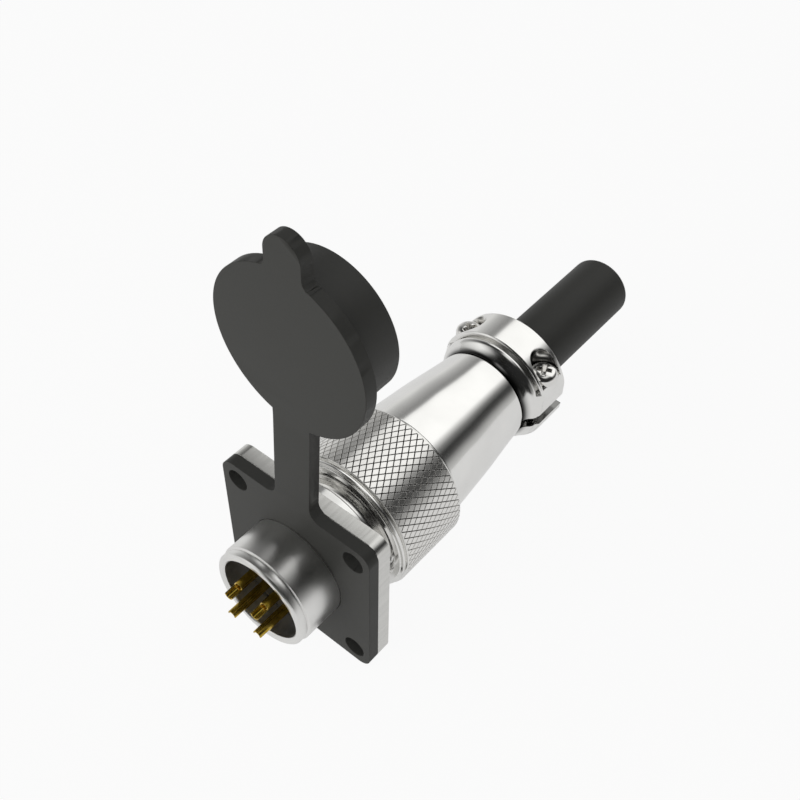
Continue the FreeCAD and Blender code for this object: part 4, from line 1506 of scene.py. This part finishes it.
@dataclass
class CableClamp:
    """The two clamp halves with their screws."""

    flare: tuple[Station, ...] = (
        (10.75, 57.0), (10.83, 57.35), (11.0, 57.75), (11.27, 58.15), (11.6, 58.5), (11.95, 58.85),
        (12.2, 59.2), (12.36, 59.6), (12.4, 59.95), (12.33, 60.2), (12.15, 60.3))
    line_r: float = 11.7
    body_y: float = 60.9
    body_r: float = 13.3
    end_y: float = 68.9
    flat_x: float = 12.6
    front_edge: float = 0.25
    end_edge: float = 0.35
    upper_z: float = -0.4
    lower_z: float = -3.2
    grip_r: float = 9.1
    hollow: tuple[float, float, float] = (10.5, 58.3, 60.1)
    web_z: tuple[float, float] = (-8.0, 5.0)
    bite: float = 0.05
    inset: float = 0.01
    tool: float = 20.0
    tool_y: tuple[float, float] = (50.0, 80.0)
    sleeve_r: float = 7.25
    screw_x: float = 9.6
    screw_y: float = 64.7
    seat_z: float = 5.9
    pocket_r: float = 3.2
    hole_r: float = 1.7
    shade_angle: float = 28
    head_r: float = 3.0
    crown: tuple[Station, ...] = (
        (-0.1, 0.0), (0.0, 0.12), (0.0, 1.1), (-0.1, 1.5), (-0.35, 1.85), (-0.8, 2.18), (-1.5, 2.34))
    head_high: float = 2.4
    recess: tuple[float, float, float] = (2.1, 0.62, 1.7)
    thread_pitch: float = 0.5
    thread_turns: int = 24
    shank_r: float = 1.48
    screw_end: float = -7.2

    def blank(self, name: str) -> Piece:
        """Turn both halves as one body and mill its two flats.

        Args:
            name: of the piece.

        Returns:
            The body before the split.
        """
        hollow_r, hollow_low, hollow_high = self.hollow
        stations = [
            (self.grip_r, self.flare[0][1]), *self.flare, (self.line_r, self.flare[-1][1]),
            (self.line_r, self.body_y), (self.body_r - self.front_edge, self.body_y),
            (self.body_r, self.body_y + self.front_edge), (self.body_r, self.end_y - self.end_edge),
            (self.body_r - self.end_edge, self.end_y), (self.sleeve_r + 0.15, self.end_y),
            (self.sleeve_r, self.end_y - 0.15), (self.sleeve_r, hollow_high), (hollow_r, hollow_high),
            (hollow_r, hollow_low), (self.grip_r, hollow_low), (self.grip_r, self.flare[0][1]),
        ]
        blank = Bench.turned(name, stations, 192)
        for way in (-1, 1):
            low, high = self.body_y - 0.1, self.tool_y[1]
            Bench.carve(blank, Bench.block(
                "flat", (way * self.flat_x, low, -self.tool), (way * self.tool, high, self.tool)))
        return blank

    def slab(self, low: float, high: float, reach: float) -> Piece:
        """A block through the clamp between two heights."""
        return Bench.block("slab", (-reach, self.tool_y[0], low), (reach, self.tool_y[1], high))

    def web(self, low: float, high: float) -> Piece:
        """Fill the groove behind the flare beside the split.

        Args:
            low: the height where the filling starts.
            high: the height where it ends.

        Returns:
            The filling of both sides.
        """
        crest_r, crest_y = self.flare[-3]
        start, end, root = crest_y + self.bite, self.body_y + self.bite, self.line_r - 0.4
        stations = [
            (root, start), (crest_r - 0.02, start), (self.body_r - self.front_edge, end), (root, end),
            (root, start),
        ]
        web = Bench.turned("web", stations, 192)
        slab = self.slab(low + self.inset, high - self.inset, self.flat_x - self.inset)
        return Bench.carve(web, slab, "INTERSECT")

    def upper(self) -> Piece:
        """Cut the half that carries the screw heads.

        Returns:
            The upper half.
        """
        half = self.blank("clamp_top")
        y, seat = self.screw_y, self.seat_z
        Bench.carve(half, self.slab(-self.tool, self.upper_z, self.tool))
        for way in (-1, 1):
            x = way * self.screw_x
            Bench.carve(half, Bench.rod("pocket", self.pocket_r, (x, y, seat), (x, y, self.tool), 96))
            near, far = (x, y - self.pocket_r, seat), (way * self.tool, y + self.pocket_r, self.tool)
            Bench.carve(half, Bench.block("way out", near, far))
            Bench.carve(half, Bench.rod("hole", self.hole_r, (x, y, -2), (x, y, seat + 1)))
        whole = Bench.gather([half, self.web(self.upper_z, self.web_z[1])], "clamp_top")
        return Bench.soften(whole, 0, 0, self.shade_angle)

    def lower(self) -> Piece:
        """Cut the half that the screws draw up.

        Returns:
            The lower half.
        """
        half = self.blank("clamp_bottom")
        Bench.carve(half, self.slab(self.lower_z, self.tool, self.tool))
        for way in (-1, 1):
            x, y = way * self.screw_x, self.screw_y
            Bench.carve(half, Bench.rod("thread hole", self.shank_r + 0.03, (x, y, -self.tool), (x, y, 0)))
        whole = Bench.gather([half, self.web(self.web_z[0], self.lower_z)], "clamp_bottom")
        return Bench.soften(whole, 0, 0, self.shade_angle)

    def screw(self, way: int, name: str) -> Piece:
        """Turn a pan-head screw, cut its cross recess and wind its thread.

        Args:
            way: 1 for the right screw, -1 for the left.
            name: of the piece.

        Returns:
            The screw at its place.
        """
        top = self.seat_z + self.head_high
        core = self.shank_r - 0.25
        stations = [
            (0, self.screw_end), (core - 0.3, self.screw_end), (core, self.screw_end + 0.4),
            (core, self.seat_z - 0.3), (self.shank_r, self.seat_z),
            *((self.head_r + r, self.seat_z + y) for r, y in self.crown), (0.5, top), (0, top),
        ]
        screw = Bench.turned(name, stations, 96)
        arm, half, deep = self.recess
        for turn in (0, 90):
            wedge = Bench.block("recess", (-arm, top - deep, -half), (arm, top + 1, half))
            Bench.shape(wedge, lambda v: v.y < (top - 1) * MM, bpy.ops.transform.resize,
                        value=(0.45, 1, 0.55), center_override=(0, 0, 0))
            wedge.rotation_euler = (0, math.radians(turn), 0)
            Bench.carve(screw, Bench.settle(wedge, "recess"))
        Bench.soften(screw, 0.05, 2, 35)
        thread = Bench.helix("thread", core - 0.03, self.shank_r, self.screw_end + 0.5, self.thread_pitch,
                             self.thread_turns, 32)
        whole = Bench.gather([screw, thread], name)
        whole.rotation_euler = (math.pi / 2, 0, math.radians(25 * way))
        whole.location = (way * self.screw_x * MM, self.screw_y * MM, 0)
        return Bench.soften(Bench.settle(whole, name), 0, 0, 35)

    def build(self) -> None:
        """Make and place the clamp."""
        fit(self.upper(), Body.PLUG, CAST, "clamp_upper")
        fit(self.lower(), Body.LOWER_CLAMP, CAST, "clamp_lower")
        fit(self.screw(-1, "screw_left"), Body.LEFT_SCREW, SCREW, "clamp_screw_left")
        fit(self.screw(1, "screw_right"), Body.RIGHT_SCREW, SCREW, "clamp_screw_right")


@dataclass
class CableSleeve:
    """The rubber sleeve at the cable end."""

    outer: float = 7.2
    bore: float = 5.6
    start: float = 50.05
    end: float = 103.6
    lip: float = 1.0
    inner_edge: float = 0.3

    def build(self) -> None:
        """Turn and place the sleeve."""
        lip = [
            (self.outer - self.lip * (1 - math.cos(a)), self.end - self.lip * (1 - math.sin(a)))
            for a in (math.pi / 2 * k / 8 for k in range(9))
        ]
        stations = [
            (self.bore, self.start), (self.outer, self.start), *lip,
            (self.bore + self.inner_edge, self.end), (self.bore, self.end - self.inner_edge),
            (self.bore, self.start),
        ]
        sleeve = Bench.soften(Bench.turned("sleeve_tube", stations, 128), 0, 0, 40)
        fit(sleeve, Body.PLUG, RUBBER, "cable_sleeve")


def main() -> None:
    """Build the studio and every sub-assembly, in order."""
    logging.basicConfig(level=logging.INFO, format="%(message)s")
    Studio().build()
    for part in (Receptacle, Contacts, RubberCap, CouplingRing, PlugShell, CableClamp, CableSleeve):
        part().build()


if __name__ == "__main__":
    main()
